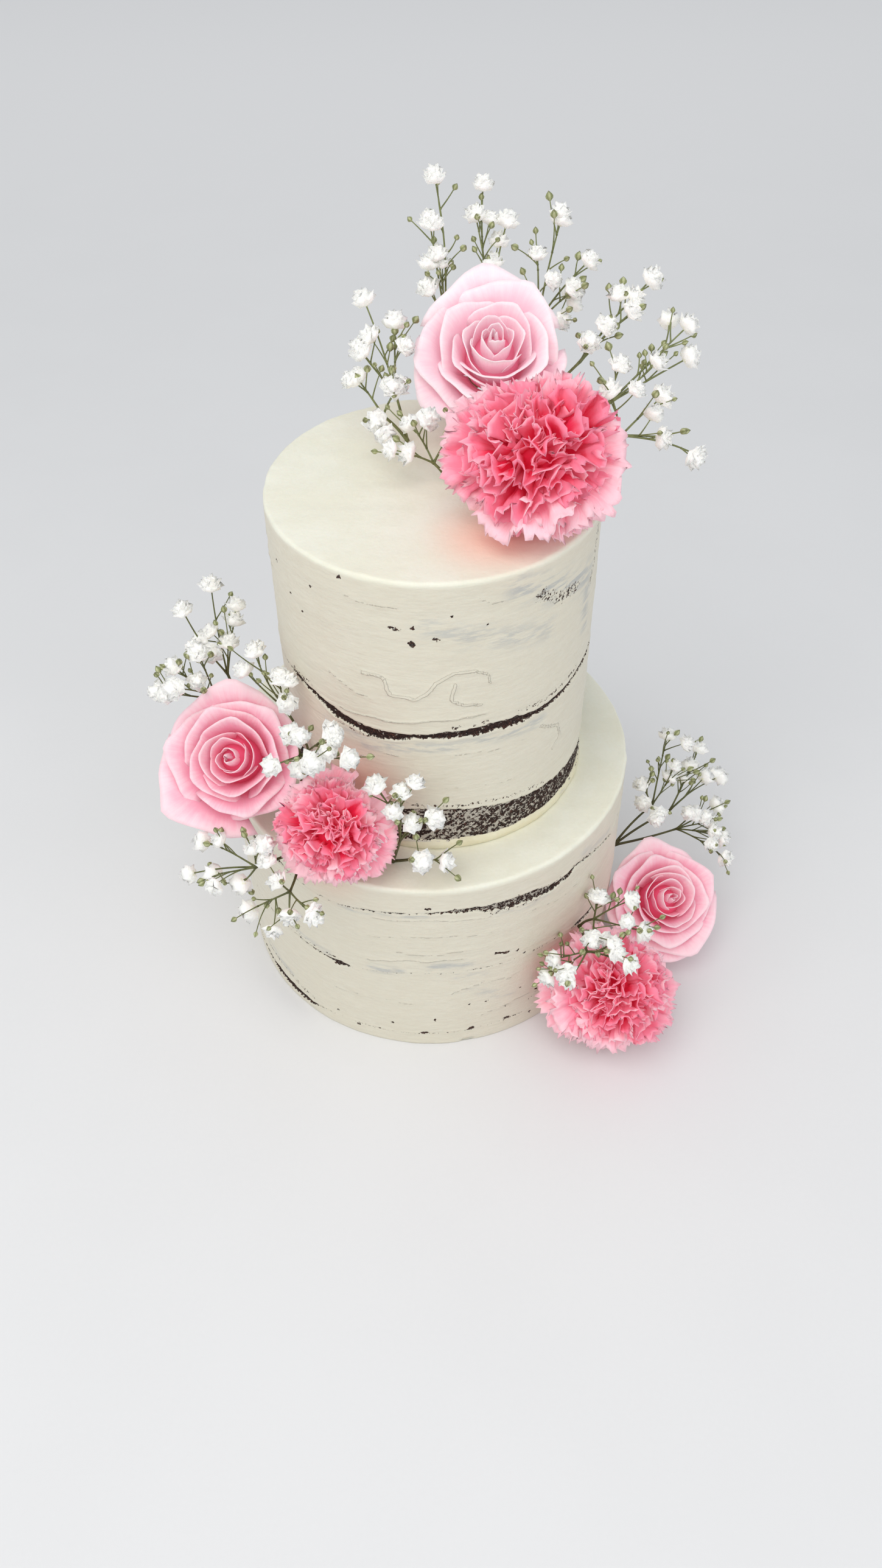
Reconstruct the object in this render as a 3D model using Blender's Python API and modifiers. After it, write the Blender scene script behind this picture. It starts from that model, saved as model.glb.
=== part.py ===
"""A two-tier celebration cake in a thin coat of cream, with sponge showing through at the side,
dressed with garden roses, carnations and sprays of baby's breath.

Metres, +Z up. The origin is the centre of the lower tier's bottom face, and -Y is the front.
"""

import math
import random

import bmesh
import bpy
from mathutils import Matrix, Vector

MM = 0.001
GAP = 0.3 * MM

# Tiers: radius and height of each, and how far the upper one sits off the lower one's axis
LOWER_RADIUS = 91.9 * MM
LOWER_HEIGHT = 114.8 * MM
UPPER_RADIUS = 65.5 * MM
UPPER_HEIGHT = 138.9 * MM
UPPER_SHIFT = Vector((3.7, -2.8, 0.0)) * MM
CAKE_TOP = LOWER_HEIGHT + UPPER_HEIGHT
CAKE_STEPS = 32
RIM_ROUNDING = 2.2 * MM
SPONGE_SETBACK = 0.5 * MM
FOOT_BULGE = 1.2 * MM

# Layers that show at each side, bottom to top: node, height of its foot above the tier's foot (mm), kind
LOWER_LAYERS = (
    ("lower_cream_foot", 0.0, "cream"),
    ("lower_sponge_low", 6.0, "sponge"),
    ("lower_cream_low", 16.0, "cream"),
    ("lower_sponge_mid", 54.0, "sponge"),
    ("lower_cream_mid", 60.0, "cream"),
    ("lower_sponge_high", 95.5, "sponge"),
    ("lower_cream_top", 101.0, "cream"),
)
UPPER_LAYERS = (
    ("upper_cream_foot", 0.3, "foot"),
    ("upper_sponge_low", 6.5, "sponge"),
    ("upper_cream_low", 25.0, "cream"),
    ("upper_sponge_mid", 65.0, "sponge"),
    ("upper_cream_top", 69.0, "cream"),
)

# Flower heads: node, centre of the widest ring (mm), its diameter (mm), the way it faces,
# and where its stalk meets the cake (mm)
ROSES = (
    ("rose_top", (25.8, 38.9, 288.5), 62.5, (-0.05, -0.45, 0.89), (26.0, 42.0, 254.0)),
    ("rose_left", (-80.4, -49.1, 149.8), 58.4, (-0.05, -0.68, 0.73), (-76.0, -30.0, 115.1)),
    ("rose_right", (117.0, -27.5, 31.5), 58.0, (0.15, -0.55, 0.80), (91.0, -16.0, 14.0)),
)
CARNATIONS = (
    ("carnation_top", (41.0, -27.4, 278.6), 62.5, (0.05, -0.68, 0.73), (38.0, -12.0, 254.0)),
    ("carnation_left", (-36.5, -81.2, 141.5), 49.6, (-0.20, -0.75, 0.63), (-33.0, -68.5, 115.1)),
    ("carnation_right", (84.9, -83.0, 33.0), 60.0, (0.20, -0.72, 0.66), (75.8, -53.2, 8.0)),
)
PETAL_THICKNESS = 1.5 * MM
STALK_RADIUS = 1.6 * MM
ROOT_LENGTH = 0.7 * MM

# Sprays of baby's breath: node, foot of the spray on the cake, then each limb as the point where it
# forks and the tips of its branches (mm)
SPRAYS = (
    ("spray_top_back_left", (12, 54, 254.0), (
        ((8, 74, 284), ((4, 80, 337), (2, 78, 321), (5, 76, 309), (1, 72, 297))),
        ((27, 74, 282), ((23, 88, 331), (20, 84, 321), (33, 86, 318), (27, 82, 303))),
    )),
    ("spray_top_back_right", (42, 46, 254.0), (
        ((46, 74, 281), ((54, 82, 320), (45, 80, 307), (66, 76, 306), (60, 70, 297), (56, 68, 285))),
        ((62, 48, 277), ((88, 52, 309), (81, 46, 299), (71, 44, 294), (64, 38, 290))),
    )),
    ("spray_top_right", (57, 12, 254.0), (
        ((72, 24, 272), ((102, 40, 296), (103, 34, 286), (90, 30, 286), (75, 24, 288))),
        ((76, 10, 266), ((92, 20, 277), (92, 8, 266), (105, 2, 262), (70, 12, 284))),
    )),
    ("spray_top_left", (-7, 26, 254.0), (
        ((-11, 30, 272), ((-23, 44, 305), (-11, 42, 297), (-25, 34, 290))),
        ((-16, 22, 268), ((-26, 26, 282), (-9, 18, 283), (-18, 10, 272))),
    )),
    ("spray_top_front", (9, -2, 254.0), (
        ((4, -3, 262), ((-5, 7, 273), (-6, -6, 268), (16, -4, 280))),
    )),
    ("spray_left_back", (-78, -4, 115.1), (
        ((-88, -4, 158), ((-92, 10, 196), (-102, -6, 195), (-84, 8, 179), (-86, -1, 174))),
        ((-92, -14, 152), ((-105, -26, 181), (-110, -36, 176), (-102, -41, 182), (-94, -23, 186))),
    )),
    ("spray_left_mid", (-58, -57, 115.1), (
        ((-63, -42, 165), ((-69, -32, 194), (-58, -42, 189), (-74, -34, 186), (-55, -49, 181))),
        ((-50, -64, 166), ((-51, -71, 185), (-58, -84, 180), (-42, -84, 182), (-35, -72, 187), (-28, -82, 182))),
    )),
    ("spray_left_right", (-14, -76, 115.1), (
        ((-10, -82, 136), ((-19, -80, 166), (-9, -82, 164), (-5, -85, 149), (4, -84, 151))),
        ((-3, -84, 127), ((9, -86, 127), (-1, -92, 134))),
    )),
    ("spray_left_low", (-54, -69, 115.1), (
        ((-69, -90, 128), ((-94, -73, 125), (-70, -84, 133), (-100, -82, 114), (-89, -85, 117), (-77, -89, 116))),
        ((-55, -98, 122), ((-60, -97, 128), (-74, -96, 107), (-55, -106, 116), (-44, -111, 122))),
    )),
    ("spray_right_back", (92.5, 1, 39.5), (
        ((112, 12, 58), ((120, 38, 82), (105, 12, 73), (121, 22, 68), (112, -4, 68))),
        ((122, 14, 52), ((137, 38, 73), (133, 32, 66), (142, 34, 56), (151, 38, 52))),
        ((126, 10, 42), ((133, 8, 56), (148, 22, 47), (144, 14, 43), (150, 6, 39), (148, -10, 42))),
    )),
    ("spray_right_front", (70, -60.5, 52.0), (
        ((76, -66, 64), ((78, -62, 75), (92, -66, 78), (74, -80, 67), (97, -78, 70))),
        ((72, -82, 60), ((84, -89, 69), (90, -93, 66), (57, -84, 57), (54, -88, 49), (64, -94, 54))),
    )),
)
TWIG_RADIUS = 0.75 * MM
BLOOM_RADIUS = 4.6 * MM
BLOOM_CLEARANCE = 0.8 * MM
TWIG_CLEARANCE = 2.2 * MM

# Finishes: colour, roughness
FINISHES = {
    "cream": ((0.83, 0.80, 0.66, 1.0), 0.42),
    "foot": ((0.78, 0.70, 0.48, 1.0), 0.35),
    "sponge": ((0.030, 0.012, 0.009, 1.0), 0.90),
    "rose": ((0.88, 0.46, 0.56, 1.0), 0.55),
    "carnation": ((0.82, 0.13, 0.24, 1.0), 0.60),
    "spray": ((0.86, 0.87, 0.80, 1.0), 0.70),
}


def clear_scene():
    """Empty the scene."""
    for item in list(bpy.data.objects):
        bpy.data.objects.remove(item, do_unlink=True)


def finish(name):
    """The material of one finish, made once."""
    material = bpy.data.materials.get(name)
    if material is None:
        colour, roughness = FINISHES[name]
        material = bpy.data.materials.new(name)
        material.use_nodes = True
        shader = material.node_tree.nodes["Principled BSDF"]
        shader.inputs["Base Color"].default_value = colour
        shader.inputs["Roughness"].default_value = roughness
        shader.inputs["Metallic"].default_value = 0.0
        material.diffuse_color = colour
    return material


def add_mesh(name, bm, collection):
    """Put a bmesh into the scene as an object."""
    mesh = bpy.data.meshes.new(name)
    bm.to_mesh(mesh)
    bm.free()
    item = bpy.data.objects.new(name, mesh)
    collection.objects.link(item)
    return item


def frozen(item):
    """Apply an object's modifiers to its mesh."""
    graph = bpy.context.evaluated_depsgraph_get()
    mesh = bpy.data.meshes.new_from_object(item.evaluated_get(graph))
    item.modifiers.clear()
    item.data = mesh
    return item


def turned(name, profile, centre, collection):
    """A turned solid. The profile runs from the axis at the top, down the outer side, to the axis below."""
    bm = bmesh.new()
    corners = [bm.verts.new((radius, 0.0, height)) for radius, height in profile]
    for upper, lower in zip(corners, corners[1:]):
        bm.edges.new((upper, lower))
    item = add_mesh(name, bm, collection)
    item.location = centre
    screw = item.modifiers.new("turn", "SCREW")
    screw.steps = CAKE_STEPS
    screw.render_steps = CAKE_STEPS
    screw.use_merge_vertices = True
    screw.merge_threshold = 0.01 * MM
    return item


def layer_profile(radius, foot, top, kind, is_crown):
    """Half section of one layer: upright sides, a round rim on the crown, a bulge on the piped foot."""
    if kind == "sponge":
        radius -= SPONGE_SETBACK
    outline = [(0.0, top)]
    if is_crown:
        for step in range(3):
            angle = math.radians(90.0 - 45.0 * step)
            outline.append((radius - RIM_ROUNDING * (1.0 - math.cos(angle)),
                            top - RIM_ROUNDING * (1.0 - math.sin(angle))))
    elif kind == "foot":
        for share in (1.0, 0.5, 0.0):
            outline.append((radius + FOOT_BULGE * math.sin(math.pi * share),
                            foot + (top - foot) * share))
    else:
        outline.append((radius, top))
    if kind != "foot":
        outline.append((radius, foot))
    outline.append((0.0, foot))
    return outline


def build_tier(layers, centre, radius, height, collection):
    """Stack one tier's layers, each a disc that runs through the cake."""
    feet = [foot * MM for _, foot, _ in layers]
    tops = [foot - GAP for foot in feet[1:]] + [height]
    for (name, _, kind), foot, top in zip(layers, feet, tops):
        profile = layer_profile(radius, foot, top, kind, top == height)
        disc = frozen(turned(name, profile, centre, collection))
        disc.data.materials.append(finish(kind))
        disc.data.shade_smooth()
        disc.data.set_sharp_from_angle(angle=math.radians(40.0))


def sheet(name, surface, across, along, thickness, collection):
    """An open grid laid on surface(u, v), u from -1 to 1 and v from 0 to 1, then given a thickness."""
    bm = bmesh.new()
    bmesh.ops.create_grid(bm, x_segments=across, y_segments=along, size=1.0)
    for corner in bm.verts:
        corner.co = surface(corner.co.x, 0.5 * (corner.co.y + 1.0))
    item = add_mesh(name, bm, collection)
    solid = item.modifiers.new("thickness", "SOLIDIFY")
    solid.thickness = thickness
    solid.offset = 0.0
    return frozen(item)


def ball(name, centre, size, across, along, collection):
    """A UV sphere with its own size on each axis."""
    bm = bmesh.new()
    bmesh.ops.create_uvsphere(bm, u_segments=across, v_segments=along, radius=1.0)
    for corner in bm.verts:
        corner.co = Vector(centre) + Vector(corner.co[axis] * size[axis] for axis in range(3))
    return add_mesh(name, bm, collection)


def tube(name, points, radius, collection):
    """A stalk along a few points: a curve with a round bevel, turned into a mesh."""
    curve = bpy.data.curves.new(name, "CURVE")
    curve.dimensions = "3D"
    curve.bevel_depth = radius
    curve.bevel_resolution = 0
    curve.use_fill_caps = True
    spline = curve.splines.new("POLY")
    spline.points.add(len(points) - 1)
    for knot, point in zip(spline.points, points):
        knot.co = (*point, 1.0)
    rail = bpy.data.objects.new(name + "_rail", curve)
    collection.objects.link(rail)
    graph = bpy.context.evaluated_depsgraph_get()
    mesh = bpy.data.meshes.new_from_object(rail.evaluated_get(graph))
    bm = bmesh.new()
    bm.from_mesh(mesh)
    bmesh.ops.remove_doubles(bm, verts=bm.verts, dist=0.01 * MM)
    item = add_mesh(name, bm, collection)
    item.matrix_world = rail.matrix_world
    bpy.data.objects.remove(rail, do_unlink=True)
    return item


def rod(name, start, end, radius, collection):
    """A thin three-sided twig from start to a little past its end, so that the next one overlaps it."""
    way = (end - start).normalized()
    length = (end - start).length + 0.8 * radius
    bm = bmesh.new()
    bmesh.ops.create_cone(bm, cap_ends=True, segments=3, radius1=radius, radius2=radius, depth=length)
    bm.transform(facing(start + 0.5 * length * way, way))
    return add_mesh(name, bm, collection)


def keep_largest_shell(item):
    """Drop what is loose from the body and fill what the union has sealed, leaving one closed shell."""
    bm = bmesh.new()
    bm.from_mesh(item.data)
    bm.faces.ensure_lookup_table()
    unseen = set(bm.faces)
    shells = []
    while unseen:
        shell = [unseen.pop()]
        for face in shell:
            for edge in face.edges:
                for other in edge.link_faces:
                    if other in unseen:
                        unseen.discard(other)
                        shell.append(other)
        shells.append(shell)
    shells.sort(key=len)
    spare = [face for shell in shells[:-1] for face in shell]
    bmesh.ops.delete(bm, geom=spare, context="FACES")
    bm.to_mesh(item.data)
    bm.free()


def fuse(name, pieces, finish_name, collection):
    """Join pieces into one body with one Boolean union on a collection."""
    others = bpy.data.collections.new(name + "_pieces")
    bpy.context.scene.collection.children.link(others)
    body, rest = pieces[0], pieces[1:]
    for piece in rest:
        collection.objects.unlink(piece)
        others.objects.link(piece)
    body.name = name
    union = body.modifiers.new("union", "BOOLEAN")
    union.operation = "UNION"
    union.operand_type = "COLLECTION"
    union.collection = others
    union.solver = "MANIFOLD"
    frozen(body)
    for piece in rest:
        bpy.data.objects.remove(piece, do_unlink=True)
    bpy.data.collections.remove(others)
    keep_largest_shell(body)
    body.data.name = name
    body.data.materials.clear()
    body.data.materials.append(finish(finish_name))
    body.data.shade_smooth()
    body.data.set_sharp_from_angle(angle=math.radians(50.0))
    return body


def facing(centre, axis):
    """The placing that turns a head's +Z to the way it faces and moves it to its centre."""
    turn = Vector((0.0, 0.0, 1.0)).rotation_difference(Vector(axis).normalized())
    return Matrix.Translation(centre) @ turn.to_matrix().to_4x4()


# Rose: petals on a golden-angle spiral, upright round the heart and curling out at the rim
ROSE_PETALS = 11
GOLDEN_ANGLE = math.radians(137.508)
ROSE_FOOT = -0.60
CLAW_SHARE = 0.22


def rose_petal(order, count):
    """One petal's surface for a head of radius 1, from the claw at the calyx to the curled rim."""
    open_share = order / (count - 1)
    turn = order * GOLDEN_ANGLE
    belly = 0.19 + 0.62 * open_share
    rim_height = 0.48 - 0.36 * open_share ** 1.5
    half_width = math.radians(88.0 - 42.0 * open_share)
    curl = -0.07 + 0.29 * open_share

    def surface(u, share):
        v = CLAW_SHARE + (1.0 - CLAW_SHARE) * share
        swell = math.sqrt(max(0.0, 1.0 - (1.0 - v) ** 2))
        radius = belly * swell + curl * v ** 5 + 0.03 * u * v
        drop = 0.30 * abs(u) ** 2.6 * v ** 2 * (rim_height - ROSE_FOOT)
        height = ROSE_FOOT + (rim_height - ROSE_FOOT) * v ** 1.15 - drop - 0.07 * open_share * v ** 6
        angle = turn + u * half_width * (0.72 + 0.28 * v)
        return Vector((radius * math.cos(angle), radius * math.sin(angle), height))

    return surface


# Carnation: nested frills with toothed, ruffled rims over a dome, each as its lift in degrees and its reach
CARNATION_FRILLS = ((4.0, 1.00), (30.0, 0.92), (58.0, 0.80))
FRILL_STEPS = 22
FRILL_WAVES = 11
RUFFLE = 0.13
TOOTH = 0.05


def frill(name, lift, reach, draw, thickness, collection):
    """A ruffled conical frill for a head of radius 1, its inner edge sunk in the dome."""
    tilt = math.radians(lift)
    bm = bmesh.new()
    bmesh.ops.create_cone(bm, cap_ends=False, segments=FRILL_STEPS, radius1=0.5, radius2=1.0, depth=1.0)
    for corner in bm.verts:
        angle = math.atan2(corner.co.y, corner.co.x)
        at_rim = corner.co.z > 0.0
        length = reach * (1.0 - TOOTH * draw.random()) if at_rim else 0.38
        ruffle = RUFFLE * math.cos(FRILL_WAVES * angle) * draw.uniform(0.5, 1.0) if at_rim else 0.0
        out = length * math.cos(tilt) - ruffle * math.sin(tilt)
        height = length * math.sin(tilt) + ruffle * math.cos(tilt)
        corner.co = (out * math.cos(angle), out * math.sin(angle), height)
    item = add_mesh(name, bm, collection)
    solid = item.modifiers.new("thickness", "SOLIDIFY")
    solid.thickness = thickness
    solid.offset = 0.0
    return frozen(item)


def rooted(foot):
    """The foot of a stalk, and a point square out from the cake's surface there, which keeps its end flat."""
    on_level = foot.z > LOWER_HEIGHT
    out = Vector((0.0, 0.0, 1.0)) if on_level else Vector((foot.x, foot.y, 0.0)).normalized()
    return [foot, foot + out * ROOT_LENGTH]


def stalk_points(placing, foot, neck):
    """Points of the stalk, from the cake to its neck and into the head."""
    middle = placing @ Vector((0.0, 0.0, neck))
    end = placing @ Vector((0.0, 0.0, 0.5 * neck))
    return rooted(foot) + [middle, end]


def build_rose(name, centre, width, axis, foot, collection):
    """A garden rose: heart, spiral petals, calyx and stalk."""
    radius = 0.5 * width * MM
    pieces = [
        ball("heart", (0.0, 0.0, -0.02), (0.20, 0.20, 0.42), 6, 4, collection),
        ball("cup", (0.0, 0.0, -0.42), (0.60, 0.60, 0.20), 10, 4, collection),
    ]
    for order in range(1, ROSE_PETALS):
        surface = rose_petal(order, ROSE_PETALS)
        pieces.append(sheet("petal", surface, 3, 2, PETAL_THICKNESS / radius, collection))
    pieces.append(ball("calyx", (0.0, 0.0, -0.62), (0.20, 0.20, 0.16), 6, 4, collection))
    return place_head(name, pieces, centre, radius, axis, foot, -0.72, "rose", collection)


def build_carnation(name, centre, width, axis, foot, collection):
    """A carnation: dome, nested frills, calyx and stalk."""
    radius = 0.5 * width * MM
    pieces = [ball("dome", (0.0, 0.0, 0.02), (0.50, 0.50, 0.50), 9, 5, collection)]
    draw = random.Random(name)
    for lift, reach in CARNATION_FRILLS:
        pieces.append(frill("frill", lift, reach, draw, PETAL_THICKNESS / radius, collection))
    pieces.append(ball("calyx", (0.0, 0.0, -0.42), (0.19, 0.19, 0.22), 6, 4, collection))
    return place_head(name, pieces, centre, radius, axis, foot, -0.56, "carnation", collection)


def place_head(name, pieces, centre, radius, axis, foot, neck, finish_name, collection):
    """Size and place a head's pieces, add its stalk and fuse them."""
    placing = facing(Vector(centre) * MM, axis) @ Matrix.Scale(radius, 4)
    for piece in pieces:
        piece.data.transform(placing)
    path = stalk_points(placing, Vector(foot) * MM, neck)
    pieces.append(tube("stalk", path, STALK_RADIUS, collection))
    return fuse(name, pieces, finish_name, collection)


def pushed_clear(point, reach):
    """Move a point out of the tiers and the flower heads, to leave reach between it and them."""
    for centre, radius, foot, top in (
        (Vector((0.0, 0.0, 0.0)), LOWER_RADIUS, 0.0, LOWER_HEIGHT),
        (UPPER_SHIFT, UPPER_RADIUS, LOWER_HEIGHT, CAKE_TOP),
    ):
        out = Vector((point.x - centre.x, point.y - centre.y, 0.0))
        if out.length < radius + reach and foot - reach < point.z < top + reach:
            side_gap = radius + reach - out.length
            top_gap = top + reach - point.z
            if top_gap < side_gap:
                point = point + Vector((0.0, 0.0, top_gap))
            else:
                point = point + out.normalized() * side_gap
    for _, centre, width, _, _ in ROSES + CARNATIONS:
        away = point - Vector(centre) * MM
        room = 0.5 * width * MM + reach
        if away.length < room:
            point = Vector(centre) * MM + away.normalized() * room
    return point


def twig_path(start, end):
    """A twig from start to end, bent round whatever its middle would cross."""
    path = [start]
    for share in (0.3, 0.6):
        straight = start.lerp(end, share)
        bent = pushed_clear(straight, TWIG_CLEARANCE)
        if (bent - straight).length > 0.9 * MM:
            path.append(bent)
    return path + [end]


def spray_branches(foot, limbs, seed):
    """Twigs (lists of points) and blooms (centre, way it faces, size) of one spray.

    Each limb runs from the foot to its fork, and a branch from there to each tip.
    """
    draw = random.Random(seed)
    base = rooted(Vector(foot) * MM)[1]
    twigs = []
    blooms = []
    for fork, tips in limbs:
        knot = pushed_clear(Vector(fork) * MM, TWIG_CLEARANCE)
        twigs.append(twig_path(base, knot))
        for tip in tips:
            end = pushed_clear(Vector(tip) * MM, BLOOM_RADIUS + BLOOM_CLEARANCE)
            way = (end - knot).normalized()
            twigs.append(twig_path(knot, end))
            blooms.append((end, way, draw.uniform(0.92, 1.08)))
    return twigs, blooms


def build_spray(name, foot, limbs, seed, collection):
    """A spray of baby's breath: forked twigs, each ending in a small double bloom."""
    twigs, blooms = spray_branches(foot, limbs, seed)
    pieces = []
    for points in twigs:
        for start, end in zip(points, points[1:]):
            pieces.append(rod("twig", start, end, TWIG_RADIUS, collection))
    for centre, way, size in blooms:
        bm = bmesh.new()
        bmesh.ops.create_icosphere(bm, subdivisions=1, radius=1.0)
        radius = BLOOM_RADIUS * size
        bm.transform(facing(centre, way) @ Matrix.Diagonal((radius, radius, 0.78 * radius, 1.0)))
        pieces.append(add_mesh("bloom", bm, collection))
    return fuse(name, pieces, "spray", collection)


def main():
    """Build the cake."""
    clear_scene()
    cake = bpy.data.collections.new("celebration_cake")
    bpy.context.scene.collection.children.link(cake)
    build_tier(LOWER_LAYERS, Vector((0.0, 0.0, 0.0)), LOWER_RADIUS, LOWER_HEIGHT, cake)
    build_tier(UPPER_LAYERS, UPPER_SHIFT + Vector((0.0, 0.0, LOWER_HEIGHT)), UPPER_RADIUS, UPPER_HEIGHT, cake)
    for name, centre, width, axis, foot in ROSES:
        build_rose(name, centre, width, axis, foot, cake)
    for name, centre, width, axis, foot in CARNATIONS:
        build_carnation(name, centre, width, axis, foot, cake)
    for seed, (name, foot, limbs) in enumerate(SPRAYS):
        build_spray(name, foot, limbs, seed, cake)


main()
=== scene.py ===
"""Looks of a two tier celebration cake dressed with roses, carnations and gypsophila.

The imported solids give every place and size. Each finished piece is a surface worked out with
numpy in millimetres, turned into metres when its mesh is made, and rides on the cake's one body.
"""

import logging
import math
import random
from dataclasses import dataclass, field, replace
from enum import Enum
from itertools import product
from typing import ClassVar, Sequence

import bpy
import numpy as np
from mathutils import Matrix, Vector


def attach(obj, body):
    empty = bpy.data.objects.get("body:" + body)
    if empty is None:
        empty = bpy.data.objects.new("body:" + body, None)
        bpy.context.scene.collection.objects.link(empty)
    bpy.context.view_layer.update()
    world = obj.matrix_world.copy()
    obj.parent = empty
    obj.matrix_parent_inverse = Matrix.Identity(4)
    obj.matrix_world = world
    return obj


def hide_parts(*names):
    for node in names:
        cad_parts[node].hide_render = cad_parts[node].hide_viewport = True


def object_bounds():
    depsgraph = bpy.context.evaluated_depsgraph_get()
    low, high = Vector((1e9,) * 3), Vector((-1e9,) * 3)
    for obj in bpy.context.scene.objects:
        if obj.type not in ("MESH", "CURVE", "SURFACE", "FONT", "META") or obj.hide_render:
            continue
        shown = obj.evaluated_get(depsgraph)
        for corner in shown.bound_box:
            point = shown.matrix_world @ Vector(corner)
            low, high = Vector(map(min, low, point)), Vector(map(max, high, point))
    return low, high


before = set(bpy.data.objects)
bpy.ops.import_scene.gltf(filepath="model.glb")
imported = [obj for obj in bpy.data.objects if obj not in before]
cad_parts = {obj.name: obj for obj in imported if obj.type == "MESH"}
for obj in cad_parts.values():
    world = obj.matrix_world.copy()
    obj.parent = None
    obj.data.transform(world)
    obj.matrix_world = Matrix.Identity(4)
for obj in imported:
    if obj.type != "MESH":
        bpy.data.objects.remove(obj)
CAD_BOX = [[float(value) for value in corner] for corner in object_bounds()]

LOG = logging.getLogger("tiered_cake")
BODY = "root"
MM = 0.001
LOWER_RADIUS = 91.9
LOWER_HEIGHT = 114.8
UPPER_RADIUS = 65.5
UPPER_HEIGHT = 138.9
UPPER_CENTRE = (3.7, -2.8)
CAKE_TOP = LOWER_HEIGHT + UPPER_HEIGHT
GOLDEN_ANGLE = 137.508
SPONGE_COLUMNS = 900
FAR_OUTSIDE = -9.0

Array = np.ndarray
Colour = tuple[float, float, float, float]
Point = tuple[float, float, float]
Row = tuple[float, float, float]


def paint(red: int, green: int, blue: int) -> Colour:
    """Turns a screen colour of 0 to 255 a channel into the linear colour that a shader takes.

    Args:
        red: red channel.
        green: green channel.
        blue: blue channel.

    Returns:
        The linear colour with full alpha.
    """
    shares = [value / 255.0 for value in (red, green, blue)]
    linear = [s / 12.92 if s <= 0.04045 else ((s + 0.055) / 1.055) ** 2.4 for s in shares]
    return (linear[0], linear[1], linear[2], 1.0)


def smooth(values: Array, low: float, high: float) -> Array:
    """Eases from 0 at low to 1 at high with a cubic that is level at both ends.

    Args:
        values: numbers to ease.
        low: where the step starts.
        high: where the step ends.

    Returns:
        The eased numbers, 3t squared less 2t cubed of the clipped share t.
    """
    share = np.clip((values - low) / (high - low), 0.0, 1.0)
    return share * share * (3.0 - 2.0 * share)


def lattice(cells: Array, seed: int) -> Array:
    """Gives every whole number cell its own fixed value from -1 to 1 by mixing its bits.

    Args:
        cells: whole numbers in an array whose last axis holds x, y and z.
        seed: picks another set of values.

    Returns:
        One value for each cell.
    """
    mixed = cells[..., 0] * 73856093 ^ cells[..., 1] * 19349663 ^ cells[..., 2] * 83492791 ^ seed * 40503
    mixed = mixed & 0xFFFFFFFF
    mixed = ((mixed ^ (mixed >> 15)) * 2246822519) & 0xFFFFFFFF
    mixed = ((mixed ^ (mixed >> 13)) * 3266489917) & 0xFFFFFFFF
    mixed = mixed ^ (mixed >> 16)
    return mixed / 2147483647.5 - 1.0


def ripple(points: Array, cell: float | Sequence[float], seed: int, octaves: int = 1) -> Array:
    """Value noise: the corner values of each cell blended with the cubic easing, summed over octaves.

    Args:
        points: places in millimetres, last axis x, y and z.
        cell: size of a cell in millimetres, one number or one for each axis.
        seed: picks another pattern.
        octaves: how many times the pattern is added again at half the size and half the height.

    Returns:
        The height of the pattern at each point, about -1 to 1.
    """
    total = np.zeros(points.shape[:-1])
    size = np.broadcast_to(np.asarray(cell, dtype=float), (3,))
    weight = 0.0
    for octave in range(octaves):
        scaled = points / (size / 2 ** octave)
        base = np.floor(scaled).astype(np.int64)
        share = scaled - base
        share = share * share * (3.0 - 2.0 * share)
        height = 0.5 ** octave
        for corner in product((0, 1), repeat=3):
            part = np.prod(np.where(np.array(corner) == 1, share, 1.0 - share), axis=-1)
            total += height * part * lattice(base + np.array(corner), seed + 97 * octave)
        weight += height
    return total / weight


def polar(radius: Array | float, turn: Array, height: Array | float) -> Array:
    """Points round the Z axis: radius times the cosine and the sine of the angle, then the height.

    Args:
        radius: distances from the axis in millimetres.
        turn: angles in radians.
        height: heights in millimetres.

    Returns:
        The points, the three arrays broadcast together with a last axis of x, y and z.
    """
    return np.stack(np.broadcast_arrays(radius * np.cos(turn), radius * np.sin(turn), height), axis=-1)


def whole_turn(count: int) -> Array:
    """Returns angles evenly round the circle, the first at the back of the cake."""
    return np.linspace(-1.5 * math.pi, 0.5 * math.pi, count, endpoint=False)


def grid_quads(index: Array) -> Array:
    """Returns the quads between the neighbouring points of a grid of point numbers."""
    corners = [index[:-1, :-1], index[:-1, 1:], index[1:, 1:], index[1:, :-1]]
    return np.stack(corners, axis=-1).reshape(-1, 4)


@dataclass
class Surface:
    """A closed surface: its points in millimetres, its faces, and values that its material reads."""

    points: Array
    quads: Array
    triangles: Array = field(default_factory=lambda: np.zeros((0, 3), dtype=np.int64))
    values: dict[str, Array] = field(default_factory=dict)

    def turned(self, turn: Array, scale: float, centre: Array) -> "Surface":
        """Scales, turns and moves the surface, and presses it flat where it meets the floor.

        Args:
            turn: rotation matrix.
            scale: size in millimetres of one unit of the surface.
            centre: where its own origin goes.

        Returns:
            The moved copy.
        """
        moved = self.points @ turn.T * scale + centre
        moved[:, 2] = np.where(moved[:, 2] < 0.5, 0.5 + 0.04 * (moved[:, 2] - 0.5), moved[:, 2])
        return Surface(moved, self.quads, self.triangles, self.values)

    def centred(self, centre: tuple[float, float]) -> "Surface":
        """Returns a copy moved level, so that its axis stands at centre."""
        moved = self.points + np.array([*centre, 0.0])
        return Surface(moved, self.quads, self.triangles, self.values)


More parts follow.
